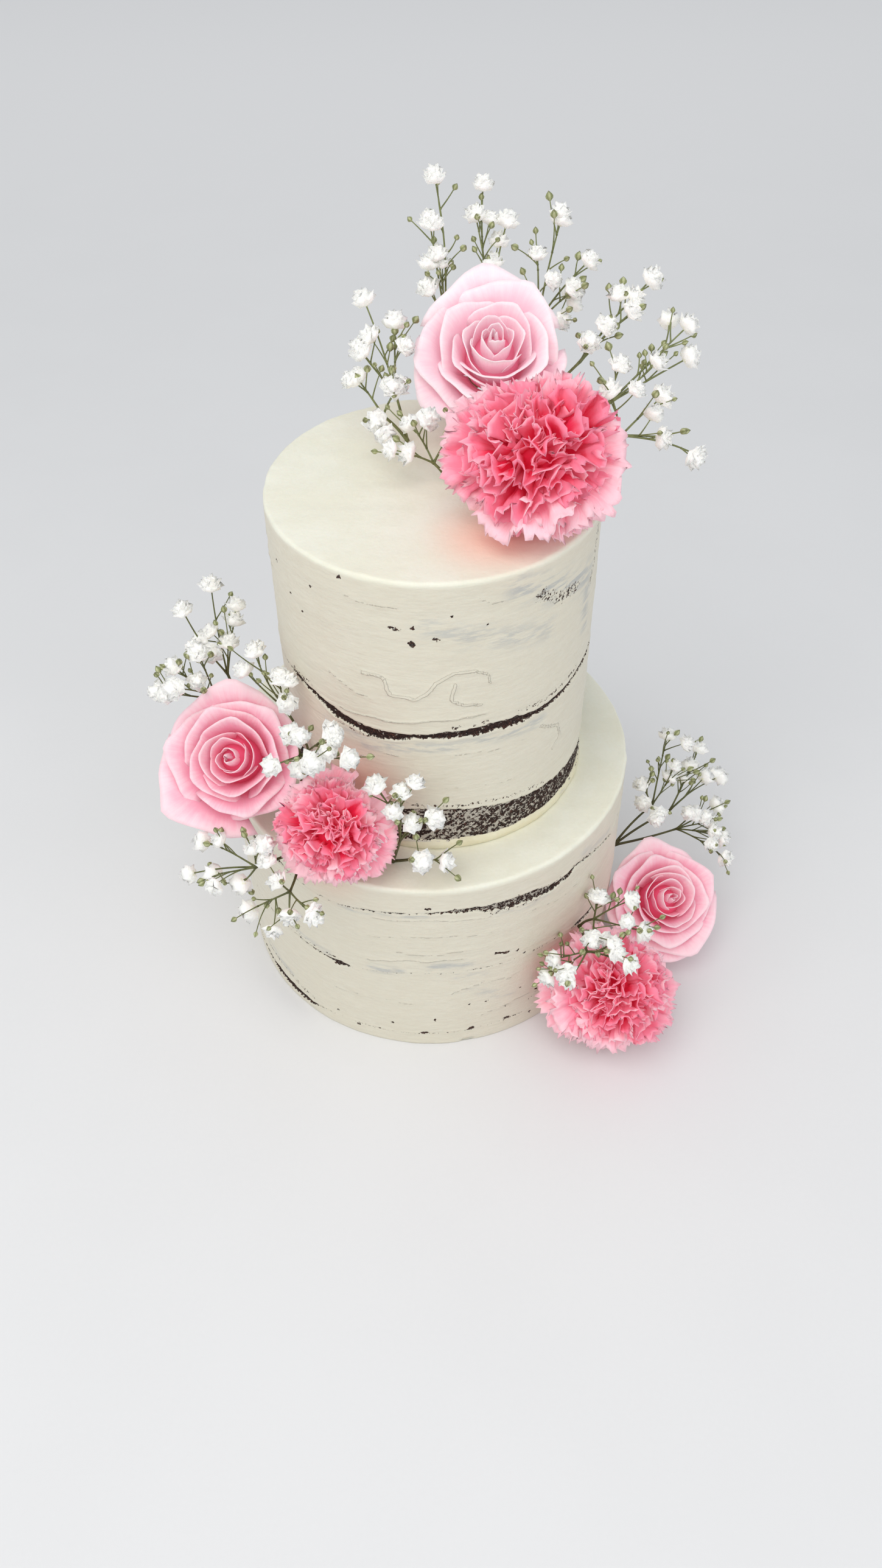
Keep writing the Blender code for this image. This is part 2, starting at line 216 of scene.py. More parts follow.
def joined(surfaces: Sequence[Surface]) -> Surface:
    """Puts surfaces together in one, keeping the values that the first one has.

    Args:
        surfaces: the surfaces in order.

    Returns:
        One surface, with the face numbers of each moved past the points before it.
    """
    starts = np.cumsum([0] + [len(part.points) for part in surfaces[:-1]])
    names = surfaces[0].values.keys()
    return Surface(
        np.concatenate([part.points for part in surfaces]),
        np.concatenate([part.quads + start for part, start in zip(surfaces, starts)]),
        np.concatenate([part.triangles + start for part, start in zip(surfaces, starts)]),
        {name: np.concatenate([part.values[name] for part in surfaces]) for name in names},
    )


def copies(count: int, each: int, faces: Array) -> Array:
    """Repeats the faces of one copy for every copy.

    Args:
        count: how many copies.
        each: how many points a copy has.
        faces: the faces of the first copy.

    Returns:
        The faces of all the copies.
    """
    starts = (np.arange(count) * each)[:, None, None]
    return (faces[None] + starts).reshape(-1, faces.shape[1])


def sheets(points: Array, thickness: Array | float, values: dict[str, Array]) -> Surface:
    """Closed thin sheets: each grid is moved half the thickness along its normal both ways.

    The normal is the cross product of the grid's two directions. A strip of quads round the
    grid's edge joins the two sides.

    Args:
        points: grids of points, with axes sheet, row, column, coordinate.
        thickness: thickness in millimetres, one number or one for each point.
        values: values for the material, each with axes sheet, row, column.

    Returns:
        The sheets as one surface.
    """
    count, rows, columns = points.shape[:3]
    along = np.gradient(points, axis=1)
    across = np.gradient(points, axis=2)
    normal = np.cross(across, along)
    normal /= np.maximum(np.linalg.norm(normal, axis=-1, keepdims=True), 1e-9)
    half = 0.5 * np.broadcast_to(np.asarray(thickness, dtype=float), points.shape[:3])[..., None]
    both = np.stack([points + normal * half, points - normal * half], axis=1)
    index = np.arange(rows * columns).reshape(rows, columns)
    front = grid_quads(index)
    back = front[:, ::-1] + rows * columns
    loop = np.concatenate([index[0, :-1], index[:-1, -1], index[-1, :0:-1], index[:0:-1, 0]])
    ahead = np.roll(loop, -1)
    rim = np.stack([ahead, loop, loop + rows * columns, ahead + rows * columns], axis=-1)
    faces = np.concatenate([front, back, rim])
    spread = {
        name: np.repeat(np.broadcast_to(value, points.shape[:3])[:, None], 2, axis=1).reshape(-1)
        for name, value in values.items()
    }
    return Surface(both.reshape(-1, 3), copies(count, 2 * rows * columns, faces), values=spread)


def revolved(rings: Array, poles: Array, values: dict[str, Array]) -> Surface:
    """Closed forms made of rings: neighbouring rings joined by quads, each end by a fan to its pole.

    Args:
        rings: points with axes form, ring, step round, coordinate; the steps run anticlockwise
            seen from the last ring.
        poles: first and last pole, with axes form, end, coordinate.
        values: values for the material with axes form, ring, step; a pole takes the mean of its
            own ring.

    Returns:
        The forms as one surface.
    """
    count, levels, sides = rings.shape[:3]
    each = levels * sides + 2
    index = np.arange(levels * sides).reshape(levels, sides)
    ahead = np.roll(index, -1, axis=1)
    quads = np.stack([index[:-1], ahead[:-1], ahead[1:], index[1:]], axis=-1).reshape(-1, 4)
    first = np.stack([ahead[0], index[0], np.full(sides, levels * sides)], axis=-1)
    last = np.stack([index[-1], ahead[-1], np.full(sides, levels * sides + 1)], axis=-1)
    points = np.concatenate([rings.reshape(count, -1, 3), poles], axis=1).reshape(-1, 3)
    spread = {}
    for name, value in values.items():
        full = np.broadcast_to(value, rings.shape[:3])
        ends = full[:, [0, -1]].mean(axis=2)
        spread[name] = np.concatenate([full.reshape(count, -1), ends], axis=1).reshape(-1)
    triangles = copies(count, each, np.concatenate([first, last]))
    return Surface(points, copies(count, each, quads), triangles, spread)


def rods(paths: Array, radii: Array, sides: int, values: dict[str, Array]) -> Surface:
    """Rods carried along paths: a ring of the path's radius square to the path at each of its points.

    Args:
        paths: points with axes rod, step, coordinate.
        radii: radius in millimetres with axes rod, step.
        sides: points round a ring.
        values: values for the material with axes rod, step.

    Returns:
        The rods as one surface, closed at both ends.
    """
    forward = np.gradient(paths, axis=1)
    forward /= np.maximum(np.linalg.norm(forward, axis=-1, keepdims=True), 1e-9)
    whole = paths[:, -1] - paths[:, 0]
    steep = np.abs(whole[:, 2]) > 0.8 * np.linalg.norm(whole, axis=-1)
    guide = np.where(steep[:, None], np.array([[1.0, 0.2, 0.0]]), np.array([[0.0, 0.0, 1.0]]))[:, None]
    first = np.cross(guide, forward)
    first /= np.maximum(np.linalg.norm(first, axis=-1, keepdims=True), 1e-9)
    second = np.cross(forward, first)
    turn = np.arange(sides) * 2.0 * math.pi / sides
    spokes = first[:, :, None] * np.cos(turn)[:, None] + second[:, :, None] * np.sin(turn)[:, None]
    rings = paths[:, :, None] + spokes * radii[:, :, None, None]
    ends = np.stack([paths[:, 0] - forward[:, 0] * radii[:, :1] * 0.4,
                     paths[:, -1] + forward[:, -1] * radii[:, -1:] * 0.4], axis=1)
    spread = {name: np.repeat(value[:, :, None], sides, axis=2) for name, value in values.items()}
    return revolved(rings, ends, spread)


def facing(axis: Point) -> Array:
    """Returns the rotation matrix that turns +Z to the axis the shortest way."""
    return np.array(Vector((0.0, 0.0, 1.0)).rotation_difference(Vector(axis)).to_matrix())


class Slot(Enum):
    """The record's material slots."""

    CREAM = "cream"
    FOOT_CREAM = "foot_cream"
    SPONGE = "sponge"
    ROSE = "rose_petals"
    CARNATION = "carnation_petals"
    SPRAY = "spray_blooms"


def make_piece(name: str, surface: Surface, material: bpy.types.Material,
               nodes: Sequence[str]) -> bpy.types.Object:
    """Makes one finished piece from a surface and puts it in place of its solids.

    Args:
        name: name of the piece.
        surface: its points in millimetres, faces and values.
        material: its finish.
        nodes: the solids that it stands for.

    Returns:
        The new object, at the origin and unturned.
    """
    mesh = bpy.data.meshes.new(name)
    quads, triangles = surface.quads, surface.triangles
    corners = np.concatenate([quads.reshape(-1), triangles.reshape(-1)])
    starts = np.concatenate([np.arange(len(quads)) * 4,
                             len(quads) * 4 + np.arange(len(triangles)) * 3])
    mesh.vertices.add(len(surface.points))
    mesh.vertices.foreach_set("co", (surface.points * MM).astype(np.float32).reshape(-1))
    mesh.loops.add(len(corners))
    mesh.loops.foreach_set("vertex_index", corners.astype(np.int32))
    mesh.polygons.add(len(starts))
    mesh.polygons.foreach_set("loop_start", starts.astype(np.int32))
    mesh.polygons.foreach_set("use_smooth", np.ones(len(starts), dtype=bool))
    for key, value in surface.values.items():
        store = mesh.attributes.new(key, "FLOAT", "POINT")
        store.data.foreach_set("value", value.astype(np.float32))
    mesh.update(calc_edges=True)
    if mesh.validate():
        LOG.warning("%s had faces that were not valid", name)
    mesh.materials.append(material)
    piece = bpy.data.objects.new(name, mesh)
    bpy.context.scene.collection.objects.link(piece)
    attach(piece, BODY)
    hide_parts(*nodes)
    LOG.info("%s: %d triangles in place of %s", name, 2 * len(quads) + len(triangles), ", ".join(nodes))
    return piece


class Shading:
    """Places and links the nodes of one shader tree."""

    def __init__(self, tree: bpy.types.NodeTree) -> None:
        """Keeps the tree."""
        self.tree = tree

    def put(self, kind: str, inputs: dict | None = None, **settings: object) -> bpy.types.Node:
        """Adds a node.

        Args:
            kind: the node's type name.
            inputs: what goes into each of its sockets, a value or another node's output.
            settings: the node's own settings.

        Returns:
            The new node.
        """
        node = self.tree.nodes.new(kind)
        for key, value in settings.items():
            setattr(node, key, value)
        for key, value in (inputs or {}).items():
            if isinstance(value, bpy.types.NodeSocket):
                self.tree.links.new(value, node.inputs[key])
            else:
                node.inputs[key].default_value = value
        return node

    def place(self, stretch: Row = (1.0, 1.0, 1.0)) -> bpy.types.NodeSocket:
        """Returns the Object coordinates, stretched by the three factors."""
        source = self.put("ShaderNodeTexCoord").outputs["Object"]
        return self.put("ShaderNodeMapping", {"Vector": source, "Scale": stretch}).outputs["Vector"]

    def noise(self, place: bpy.types.NodeSocket, scale: float, detail: float = 3.0,
              roughness: float = 0.5) -> bpy.types.NodeSocket:
        """Adds a noise pattern.

        Args:
            place: the coordinates that it reads.
            scale: its scale, features a metre.
            detail: its octaves.
            roughness: how strong the fine octaves are.

        Returns:
            Its value, about 0 to 1.
        """
        values = {"Vector": place, "Scale": scale, "Detail": detail, "Roughness": roughness}
        return self.put("ShaderNodeTexNoise", values).outputs[0]

    def value(self, name: str) -> bpy.types.NodeSocket:
        """Returns the value that the piece's mesh holds under the name."""
        return self.put("ShaderNodeAttribute", attribute_name=name).outputs["Fac"]

    def reckon(self, kind: str, first: object, second: object) -> bpy.types.NodeSocket:
        """Returns the result of one Math node on two values."""
        return self.put("ShaderNodeMath", {0: first, 1: second}, operation=kind).outputs[0]

    def times(self, first: object, second: object) -> bpy.types.NodeSocket:
        """Returns the product of two values."""
        return self.reckon("MULTIPLY", first, second)

    def plus(self, first: object, second: object) -> bpy.types.NodeSocket:
        """Returns the sum of two values."""
        return self.reckon("ADD", first, second)

    def centred(self, value: bpy.types.NodeSocket) -> bpy.types.NodeSocket:
        """Returns a value of 0 to 1 less a half."""
        return self.reckon("SUBTRACT", value, 0.5)

    def group(self, tree: bpy.types.NodeTree, **inputs: object) -> bpy.types.bpy_prop_collection:
        """Places a node group.

        Args:
            tree: the group.
            inputs: what is set on its inputs, by name.

        Returns:
            Its outputs by name.
        """
        return self.put("ShaderNodeGroup", inputs, node_tree=tree).outputs

    def step(self, source: bpy.types.NodeSocket, low: float, high: float, start: float = 0.0,
             end: float = 1.0) -> bpy.types.NodeSocket:
        """Maps low..high of a value to start..end with an eased step.

        Args:
            source: the value.
            low: where the step starts.
            high: where it ends.
            start: result at low.
            end: result at high.

        Returns:
            The mapped value.
        """
        values = {"Value": source, "From Min": low, "From Max": high, "To Min": start, "To Max": end}
        return self.put("ShaderNodeMapRange", values, interpolation_type="SMOOTHSTEP").outputs[0]

    def mix(self, share: object, first: object, second: object,
            blend: str = "MIX") -> bpy.types.NodeSocket:
        """Mixes two colours.

        Args:
            share: share of the second colour.
            first: colour or socket at share 0.
            second: colour or socket at share 1.
            blend: way of mixing.

        Returns:
            The mixed colour.
        """
        colours = {0: share, 6: first, 7: second}
        return self.put("ShaderNodeMix", colours, data_type="RGBA", blend_type=blend).outputs[2]

    def bump(self, height: bpy.types.NodeSocket, distance: float,
             strength: float) -> bpy.types.NodeSocket:
        """Returns the normal that a height in metres times distance gives."""
        values = {"Height": height, "Distance": distance, "Strength": strength}
        return self.put("ShaderNodeBump", values).outputs["Normal"]


def new_group(name: str, inputs: dict[str, tuple[str, object]],
              outputs: dict[str, str]) -> tuple[bpy.types.NodeTree, Shading]:
    """Starts a shader node group with named sockets.

    Args:
        name: the group's name.
        inputs: socket type and default of each input.
        outputs: socket type of each output.

    Returns:
        The group's tree and its node placer.
    """
    tree = bpy.data.node_groups.new(name, "ShaderNodeTree")
    for key, (kind, default) in inputs.items():
        socket = tree.interface.new_socket(key, in_out="INPUT", socket_type=kind)
        socket.default_value = default
    for key, kind in outputs.items():
        tree.interface.new_socket(key, in_out="OUTPUT", socket_type=kind)
    return tree, Shading(tree)


def mottle_group() -> bpy.types.NodeTree:
    """Makes the group that mottles a colour and gives a fine relief.

    Returns:
        The group: Pale and Deep are the two colours, Size the patches a metre and Grain the fine
        grains a metre. Color is the two mixed by a two scale noise, Height is the fine noise.
    """
    inputs = {
        "Pale": ("NodeSocketColor", (0.8, 0.8, 0.8, 1.0)),
        "Deep": ("NodeSocketColor", (0.5, 0.5, 0.5, 1.0)),
        "Size": ("NodeSocketFloat", 60.0),
        "Grain": ("NodeSocketFloat", 900.0),
    }
    outputs = {"Color": "NodeSocketColor", "Height": "NodeSocketFloat"}
    tree, shading = new_group("Mottle", inputs, outputs)
    source = shading.put("NodeGroupInput").outputs
    place = shading.place()
    broad = shading.put("ShaderNodeTexNoise", {"Vector": place, "Scale": source["Size"], "Detail": 4.0})
    fine = shading.put("ShaderNodeTexNoise", {"Vector": place, "Scale": source["Grain"], "Detail": 3.0})
    both = shading.plus(shading.times(broad.outputs[0], 0.75), shading.times(fine.outputs[0], 0.25))
    colour = shading.mix(shading.step(both, 0.36, 0.64), source["Pale"], source["Deep"])
    shading.put("NodeGroupOutput", {"Color": colour, "Height": fine.outputs[0]})
    return tree


def crumb_group() -> bpy.types.NodeTree:
    """Makes the group that gives open sponge its pores and its dark and reddish grains.

    Returns:
        The group: Dark, Brown and Red are the grain colours. Color is mixed from them by noises
        of three sizes, Height is the pores' depth.
    """
    inputs = {
        "Dark": ("NodeSocketColor", paint(38, 26, 22)),
        "Brown": ("NodeSocketColor", paint(88, 58, 44)),
        "Red": ("NodeSocketColor", paint(140, 84, 62)),
    }
    outputs = {"Color": "NodeSocketColor", "Height": "NodeSocketFloat"}
    tree, shading = new_group("Crumb", inputs, outputs)
    source = shading.put("NodeGroupInput").outputs
    place = shading.place()
    grains = shading.put("ShaderNodeTexVoronoi", {"Vector": place, "Scale": 900.0, "Randomness": 1.0})
    fine = shading.noise(place, 1500.0, 4.0, 0.6)
    patch = shading.noise(place, 260.0, 3.0)
    brown = shading.mix(shading.step(fine, 0.42, 0.64), source["Dark"], source["Brown"])
    spots = shading.times(shading.step(patch, 0.52, 0.72), shading.step(fine, 0.5, 0.7))
    colour = shading.mix(spots, brown, source["Red"])
    depth = shading.plus(shading.times(grains.outputs["Distance"], 0.8), fine)
    shading.put("NodeGroupOutput", {"Color": colour, "Height": depth})
    return tree


@dataclass(frozen=True)
class Finish:
    """What every finish of the cake shares: its name and how the shader takes light."""

    name: str
    subsurface: float = 0.1
    depth: float = 0.002
    specular: float = 0.5

    def start(self) -> tuple[bpy.types.Material, Shading]:
        """Starts a material.

        Returns:
            The material with an empty tree, and its node placer.
        """
        material = bpy.data.materials.new(self.name)
        material.use_nodes = True
        material.node_tree.nodes.clear()
        return material, Shading(material.node_tree)

    def close(self, shading: Shading, colour: bpy.types.NodeSocket, roughness: object,
              normal: bpy.types.NodeSocket, **constants: object) -> None:
        """Adds the shader and the output.

        Args:
            shading: the node placer.
            colour: what goes into Base Color.
            roughness: value or socket for Roughness.
            normal: what goes into Normal.
            constants: further values set on the shader's own sockets, with _ for a space.
        """
        values = {
            "Base Color": colour,
            "Roughness": roughness,
            "Normal": normal,
            "Subsurface Weight": self.subsurface,
            "Subsurface Scale": self.depth,
            "Subsurface Radius": (1.0, 0.7, 0.5),
            "Specular IOR Level": self.specular,
        }
        values.update({key.replace("_", " "): value for key, value in constants.items()})
        shader = shading.put("ShaderNodeBsdfPrincipled", values)
        shading.put("ShaderNodeOutputMaterial", {"Surface": shader.outputs[0]})


@dataclass(frozen=True)
class CreamFinish(Finish):
    """Buttercream scraped over the sponge: thin places and crumb picked up.

    Its sides are painted a darker shade than its top, and by the flowers it takes a painted glow of
    the light that they bounce onto it.
    """

    pale: Colour = paint(241, 240, 224)
    deep: Colour = paint(237, 235, 216)
    # painted shade: the darker colour laid on the sides of the tiers, against the paler top
    scraped_and_painted_shade: Colour = paint(221, 214, 195)
    thin: Colour = paint(178, 181, 180)
    # painted glow: the colour of the light that the flowers bounce onto the cream
    painted_bounce: Colour = paint(255, 196, 172)
    roughness: float = 0.42

    def build(self, groups: dict[str, bpy.types.NodeTree]) -> bpy.types.Material:
        """Builds the material.

        Args:
            groups: the shared node groups by name.

        Returns:
            The material. Its mesh holds the values side, thin, crumb, open, ridge and the painted glow that
            the flowers bounce onto the cream; side marks where the shade of the sides is painted.
        """
        material, shading = self.start()
        place = shading.place()
        # coordinates stretched upright for the scraper's streaks, which streak the thin patches and the
        # painted shade of the sides
        scraped_and_painted_shade = shading.place((1.0, 1.0, 5.0))
        mottle = shading.group(groups["mottle"], Pale=self.pale, Deep=self.deep, Size=45.0, Grain=700.0)
        crumb = shading.group(groups["crumb"])
        patch = shading.noise(scraped_and_painted_shade, 75.0, 5.0, 0.65)
        edge = shading.noise(place, 800.0, 4.0, 0.65)
        dots = shading.noise(place, 850.0, 3.0, 0.6)
        streak = shading.noise(scraped_and_painted_shade, 160.0, 4.0, 0.6)
        thin = shading.times(shading.value("thin"), shading.step(patch, 0.42, 0.60))
        # painted shade: the sides take a darker cream colour than the top, streaked along the scraper's path
        painted_side_shade = shading.step(streak, 0.25, 0.75, 0.72, 0.95)
        painted_side_shade = shading.times(shading.value("side"), painted_side_shade)
        colour = shading.mix(painted_side_shade, mottle["Color"], self.scraped_and_painted_shade)
        colour = shading.mix(shading.times(thin, 0.9), colour, self.thin)
        # painted glow of the light that the flowers bounce onto the cream near their heads
        colour = shading.mix(shading.value("painted_bounce"), colour, self.painted_bounce)
        window = shading.step(shading.plus(shading.value("open"), edge), 0.98, 1.04)
        near = shading.value("crumb")
        bits = shading.step(shading.plus(near, shading.times(dots, 1.8)), 1.42, 1.50)
        bits = shading.times(bits, shading.step(near, 0.02, 0.12))
        mask = shading.reckon("MAXIMUM", window, bits)
        colour = shading.mix(mask, colour, crumb["Color"])
        rough = shading.plus(shading.step(streak, 0.3, 0.7, self.roughness, self.roughness + 0.12),
                             shading.times(mask, 0.35))
        relief = shading.plus(shading.times(streak, 0.38), shading.times(mottle["Height"], 0.22))
        pores = shading.times(shading.times(mask, crumb["Height"]), 0.5)
        relief = shading.plus(relief, pores)
        lip = shading.step(shading.plus(shading.value("ridge"), shading.times(edge, 0.7)), 0.80, 1.05)
        relief = shading.plus(relief, shading.times(lip, 1.2))
        self.close(shading, colour, rough, shading.bump(relief, 0.0008, 0.75))
        return material


@dataclass(frozen=True)
class SpongeFinish(Finish):
    """Open dark sponge with whitish scrapes of cream drawn across it."""

    dark: Colour = paint(36, 24, 22)
    brown: Colour = paint(72, 48, 40)
    red: Colour = paint(118, 70, 54)
    scrape: Colour = paint(208, 200, 186)

    def build(self, groups: dict[str, bpy.types.NodeTree]) -> bpy.types.Material:
        """Builds the material.

        Args:
            groups: the shared node groups by name.

        Returns:
            The material. Its mesh holds the value smear.
        """
        material, shading = self.start()
        place = shading.place()
        crumb = shading.group(groups["crumb"], Dark=self.dark, Brown=self.brown, Red=self.red)
        fine = shading.noise(place, 700.0, 4.0, 0.72)
        film = shading.plus(fine, shading.times(shading.value("smear"), 0.42))
        film = shading.times(shading.step(film, 0.63, 0.675), 0.9)
        colour = shading.mix(film, crumb["Color"], self.scrape)
        rough = shading.step(film, 0.0, 1.0, 0.82, 0.5)
        self.close(shading, colour, rough, shading.bump(crumb["Height"], 0.0009, 0.8))
        return material


@dataclass(frozen=True)
class PetalFinish(Finish):
    """A petal: deep at its foot, paler to its rim, with fine veins along it. The deep foot is the petal's
    own colour and also a painted glow of the light that shines through into the crevices.

    A weak glow stands in for the light that a thin petal lets through.
    """

    deep: Colour = paint(236, 104, 138)
    middle: Colour = paint(246, 176, 196)
    pale: Colour = paint(254, 220, 227)
    blush: float = 0.3
    veins: float = 26.0
    rim_low: float = 0.60
    rim_high: float = 1.08
    glow: float = 0.08

    def build(self, groups: dict[str, bpy.types.NodeTree]) -> bpy.types.Material:
        """Builds the material.

        Args:
            groups: the shared node groups by name.

        Returns:
            The material. Its mesh holds the values along, across and tone.
        """
        material, shading = self.start()
        place = shading.place()
        along = shading.value("along")
        across = shading.value("across")
        tone = shading.value("tone")
        fibre = {"X": shading.times(across, self.veins), "Y": along, "Z": tone}
        vein = shading.noise(shading.put("ShaderNodeCombineXYZ", fibre).outputs[0], 1.0, 3.0, 0.6)
        patch = shading.noise(place, 190.0, 3.0)
        level = shading.plus(along, shading.times(shading.centred(vein), 0.30))
        level = shading.plus(level, shading.times(shading.centred(patch), 0.35))
        level = shading.plus(level, shading.times(shading.centred(tone), self.blush))
        # deep at the foot: the petal's own colour and a painted glow of light let through into the crevices
        colour = shading.mix(shading.step(level, 0.05, 0.55), self.deep, self.middle)
        colour = shading.mix(shading.step(level, self.rim_low, self.rim_high), colour, self.pale)
        grain = shading.noise(place, 2600.0, 2.0)
        relief = shading.plus(vein, shading.times(grain, 0.4))
        rough = shading.step(patch, 0.3, 0.7, 0.5, 0.62)
        self.close(shading, colour, rough, shading.bump(relief, 0.00025, 0.6),
                   Emission_Color=colour, Emission_Strength=self.glow)
        return material


@dataclass(frozen=True)
class BloomFinish(Finish):
    """Small white blossom: greenish yellow in its folds, white on its ruffles, with a weak painted glow."""

    heart: Colour = paint(205, 205, 140)
    white: Colour = paint(254, 253, 248)
    glow: float = 0.10

    def build(self, groups: dict[str, bpy.types.NodeTree]) -> bpy.types.Material:
        """Builds the material.

        Args:
            groups: the shared node groups by name.

        Returns:
            The material. Its mesh holds the value along.
        """
        material, shading = self.start()
        place = shading.place()
        fine = shading.noise(place, 900.0, 3.0)
        level = shading.plus(shading.value("along"), shading.times(shading.centred(fine), 0.5))
        colour = shading.mix(shading.step(level, 0.0, 0.42), self.heart, self.white)
        rough = shading.step(fine, 0.3, 0.7, 0.5, 0.65)
        # painted glow: the blossom gives off a little light of its own colour
        self.close(shading, colour, rough, shading.bump(fine, 0.0004, 0.6),
                   Emission_Color=colour, Emission_Strength=self.glow)
        return material


@dataclass(frozen=True)
class StemFinish(Finish):
    """Stems, calyxes and buds: two greens in stripes or patches, browner with age."""

    pale: Colour = paint(206, 208, 164)
    green: Colour = paint(112, 124, 62)
    old: Colour = paint(72, 62, 36)
    clear: Colour = (1.0, 1.0, 1.0, 1.0)
    shade: Colour = (0.62, 0.62, 0.55, 1.0)

    def build(self, groups: dict[str, bpy.types.NodeTree]) -> bpy.types.Material:
        """Builds the material.

        Args:
            groups: the shared node groups by name.

        Returns:
            The material. Its mesh holds the values stripe and age.
        """
        material, shading = self.start()
        mottle = shading.group(groups["mottle"], Pale=self.clear, Deep=self.shade, Size=240.0, Grain=1600.0)
        colour = shading.mix(shading.value("stripe"), self.green, self.pale)
        colour = shading.mix(shading.value("age"), colour, self.old)
        colour = shading.mix(1.0, colour, mottle["Color"], "MULTIPLY")
        rough = shading.step(mottle["Height"], 0.3, 0.7, 0.45, 0.6)
        self.close(shading, colour, rough, shading.bump(mottle["Height"], 0.0003, 0.5))
        return material


@dataclass(frozen=True)
class PaperFinish(Finish):
    """Plain pale studio paper with a faint tooth, a shade paler far behind the cake.

    The paler far part is painted light that makes up for the lamps' fall-off there.
    """

    pale: Colour = paint(233, 233, 233)
    far: Colour = paint(252, 251, 250)
    near_end: float = 0.30
    far_start: float = 1.60

    def build(self, groups: dict[str, bpy.types.NodeTree]) -> bpy.types.Material:
        """Builds the material.

        Args:
            groups: the shared node groups by name.

        Returns:
            The material.
        """
        material, shading = self.start()
        deep = tuple(0.985 * value for value in self.pale[:3]) + (1.0,)
        mottle = shading.group(groups["mottle"], Pale=self.pale, Deep=deep, Size=9.0, Grain=500.0)
        depth = shading.put("ShaderNodeSeparateXYZ", {"Vector": shading.place()}).outputs["Y"]
        # painted light: the paper turns paler far behind the cake to make up for the lamps' fall-off
        colour = shading.mix(shading.step(depth, self.near_end, self.far_start), mottle["Color"], self.far)
        self.close(shading, colour, 0.9, shading.bump(mottle["Height"], 0.0002, 0.1))
        return material


@dataclass(frozen=True)
class Stroke:
    """A mark drawn on the side of a tier: a path of (degrees, height), its reach and its strength."""

    path: tuple[tuple[float, float], ...]
    reach: float
    strength: float = 1.0

    def field(self, degrees: Array, heights: Array, radius: float) -> Array:
        """Returns how strong the mark is: 1 on its path, easing to 0 at its reach.

        Args:
            degrees: angle of each point round the tier.
            heights: height of each point above the tier's foot, in millimetres.
            radius: the tier's radius.

        Returns:
            The strength at each point.
        """
        start = self.path[0][0]
        arc = np.radians((degrees - start + 180.0) % 360.0 - 180.0) * radius
        line = [(math.radians(a - start) * radius, z) for a, z in self.path]
        if len(line) == 1:
            line = line * 2
        nearest = np.full(arc.shape, 1e9)
        for (ax, az), (bx, bz) in zip(line[:-1], line[1:]):
            length = max((bx - ax) ** 2 + (bz - az) ** 2, 1e-9)
            share = np.clip(((arc - ax) * (bx - ax) + (heights - az) * (bz - az)) / length, 0.0, 1.0)
            gap = np.hypot(arc - ax - share * (bx - ax), heights - az - share * (bz - az))
            nearest = np.minimum(nearest, gap)
        return self.strength * smooth(-nearest, -self.reach, 0.0)


def strongest(strokes: Sequence[Stroke], degrees: Array, heights: Array, radius: float) -> Array:
    """Finds the strongest mark at each point of a tier's side.

    Args:
        strokes: the marks.
        degrees: angle of each point round the tier.
        heights: height of each point above the tier's foot.
        radius: the tier's radius.

    Returns:
        The strength at each point, 0 where there is no mark.
    """
    result = np.zeros(degrees.shape)
    for stroke in strokes:
        result = np.maximum(result, stroke.field(degrees, heights, radius))
    return result


@dataclass(frozen=True)
class Band:
    """A sponge layer and the opening in the cream over it.

    Heights are in millimetres above the tier's foot. The opening's rows are (degrees, low, high).
    Smear is how strongly cream is drawn over the sponge, and grow how far the opening is widened.
    """

    node: str
    foot: float
    head: float
    opening: tuple[Row, ...]
    smear: float
    grow: float = 0.4

    def inside(self, points: Array, degrees: Array, heights: Array, seed: int) -> Array:
        """Returns how far inside the opening each point is, in millimetres, negative outside.

        Args:
            points: places of the points.
            degrees: their angle round the tier.
            heights: their height above the tier's foot.
            seed: picks the ragged edge's pattern.

        Returns:
            The smaller of the distances above the low edge and below the high edge, both edges
            made ragged by noise of two sizes.
        """
        rows = np.array(sorted(self.opening))
        low = np.interp(degrees, rows[:, 0], rows[:, 1], period=360.0)
        high = np.interp(degrees, rows[:, 0], rows[:, 2], period=360.0)
        ragged = 0.7 * ripple(points, 4.0, seed, 2) + 0.3 * ripple(points, 1.1, seed + 5)
        other = 0.7 * ripple(points, 4.0, seed + 9, 2) + 0.3 * ripple(points, 1.1, seed + 13)
        grow = self.grow * np.clip((high - low) / 0.9, 0.0, 1.0)
        share = 1.5 * np.clip((high - low) / 3.0, 0.2, 1.0)
        return np.minimum(heights - low + grow - share * ragged, high + grow - heights - share * other)


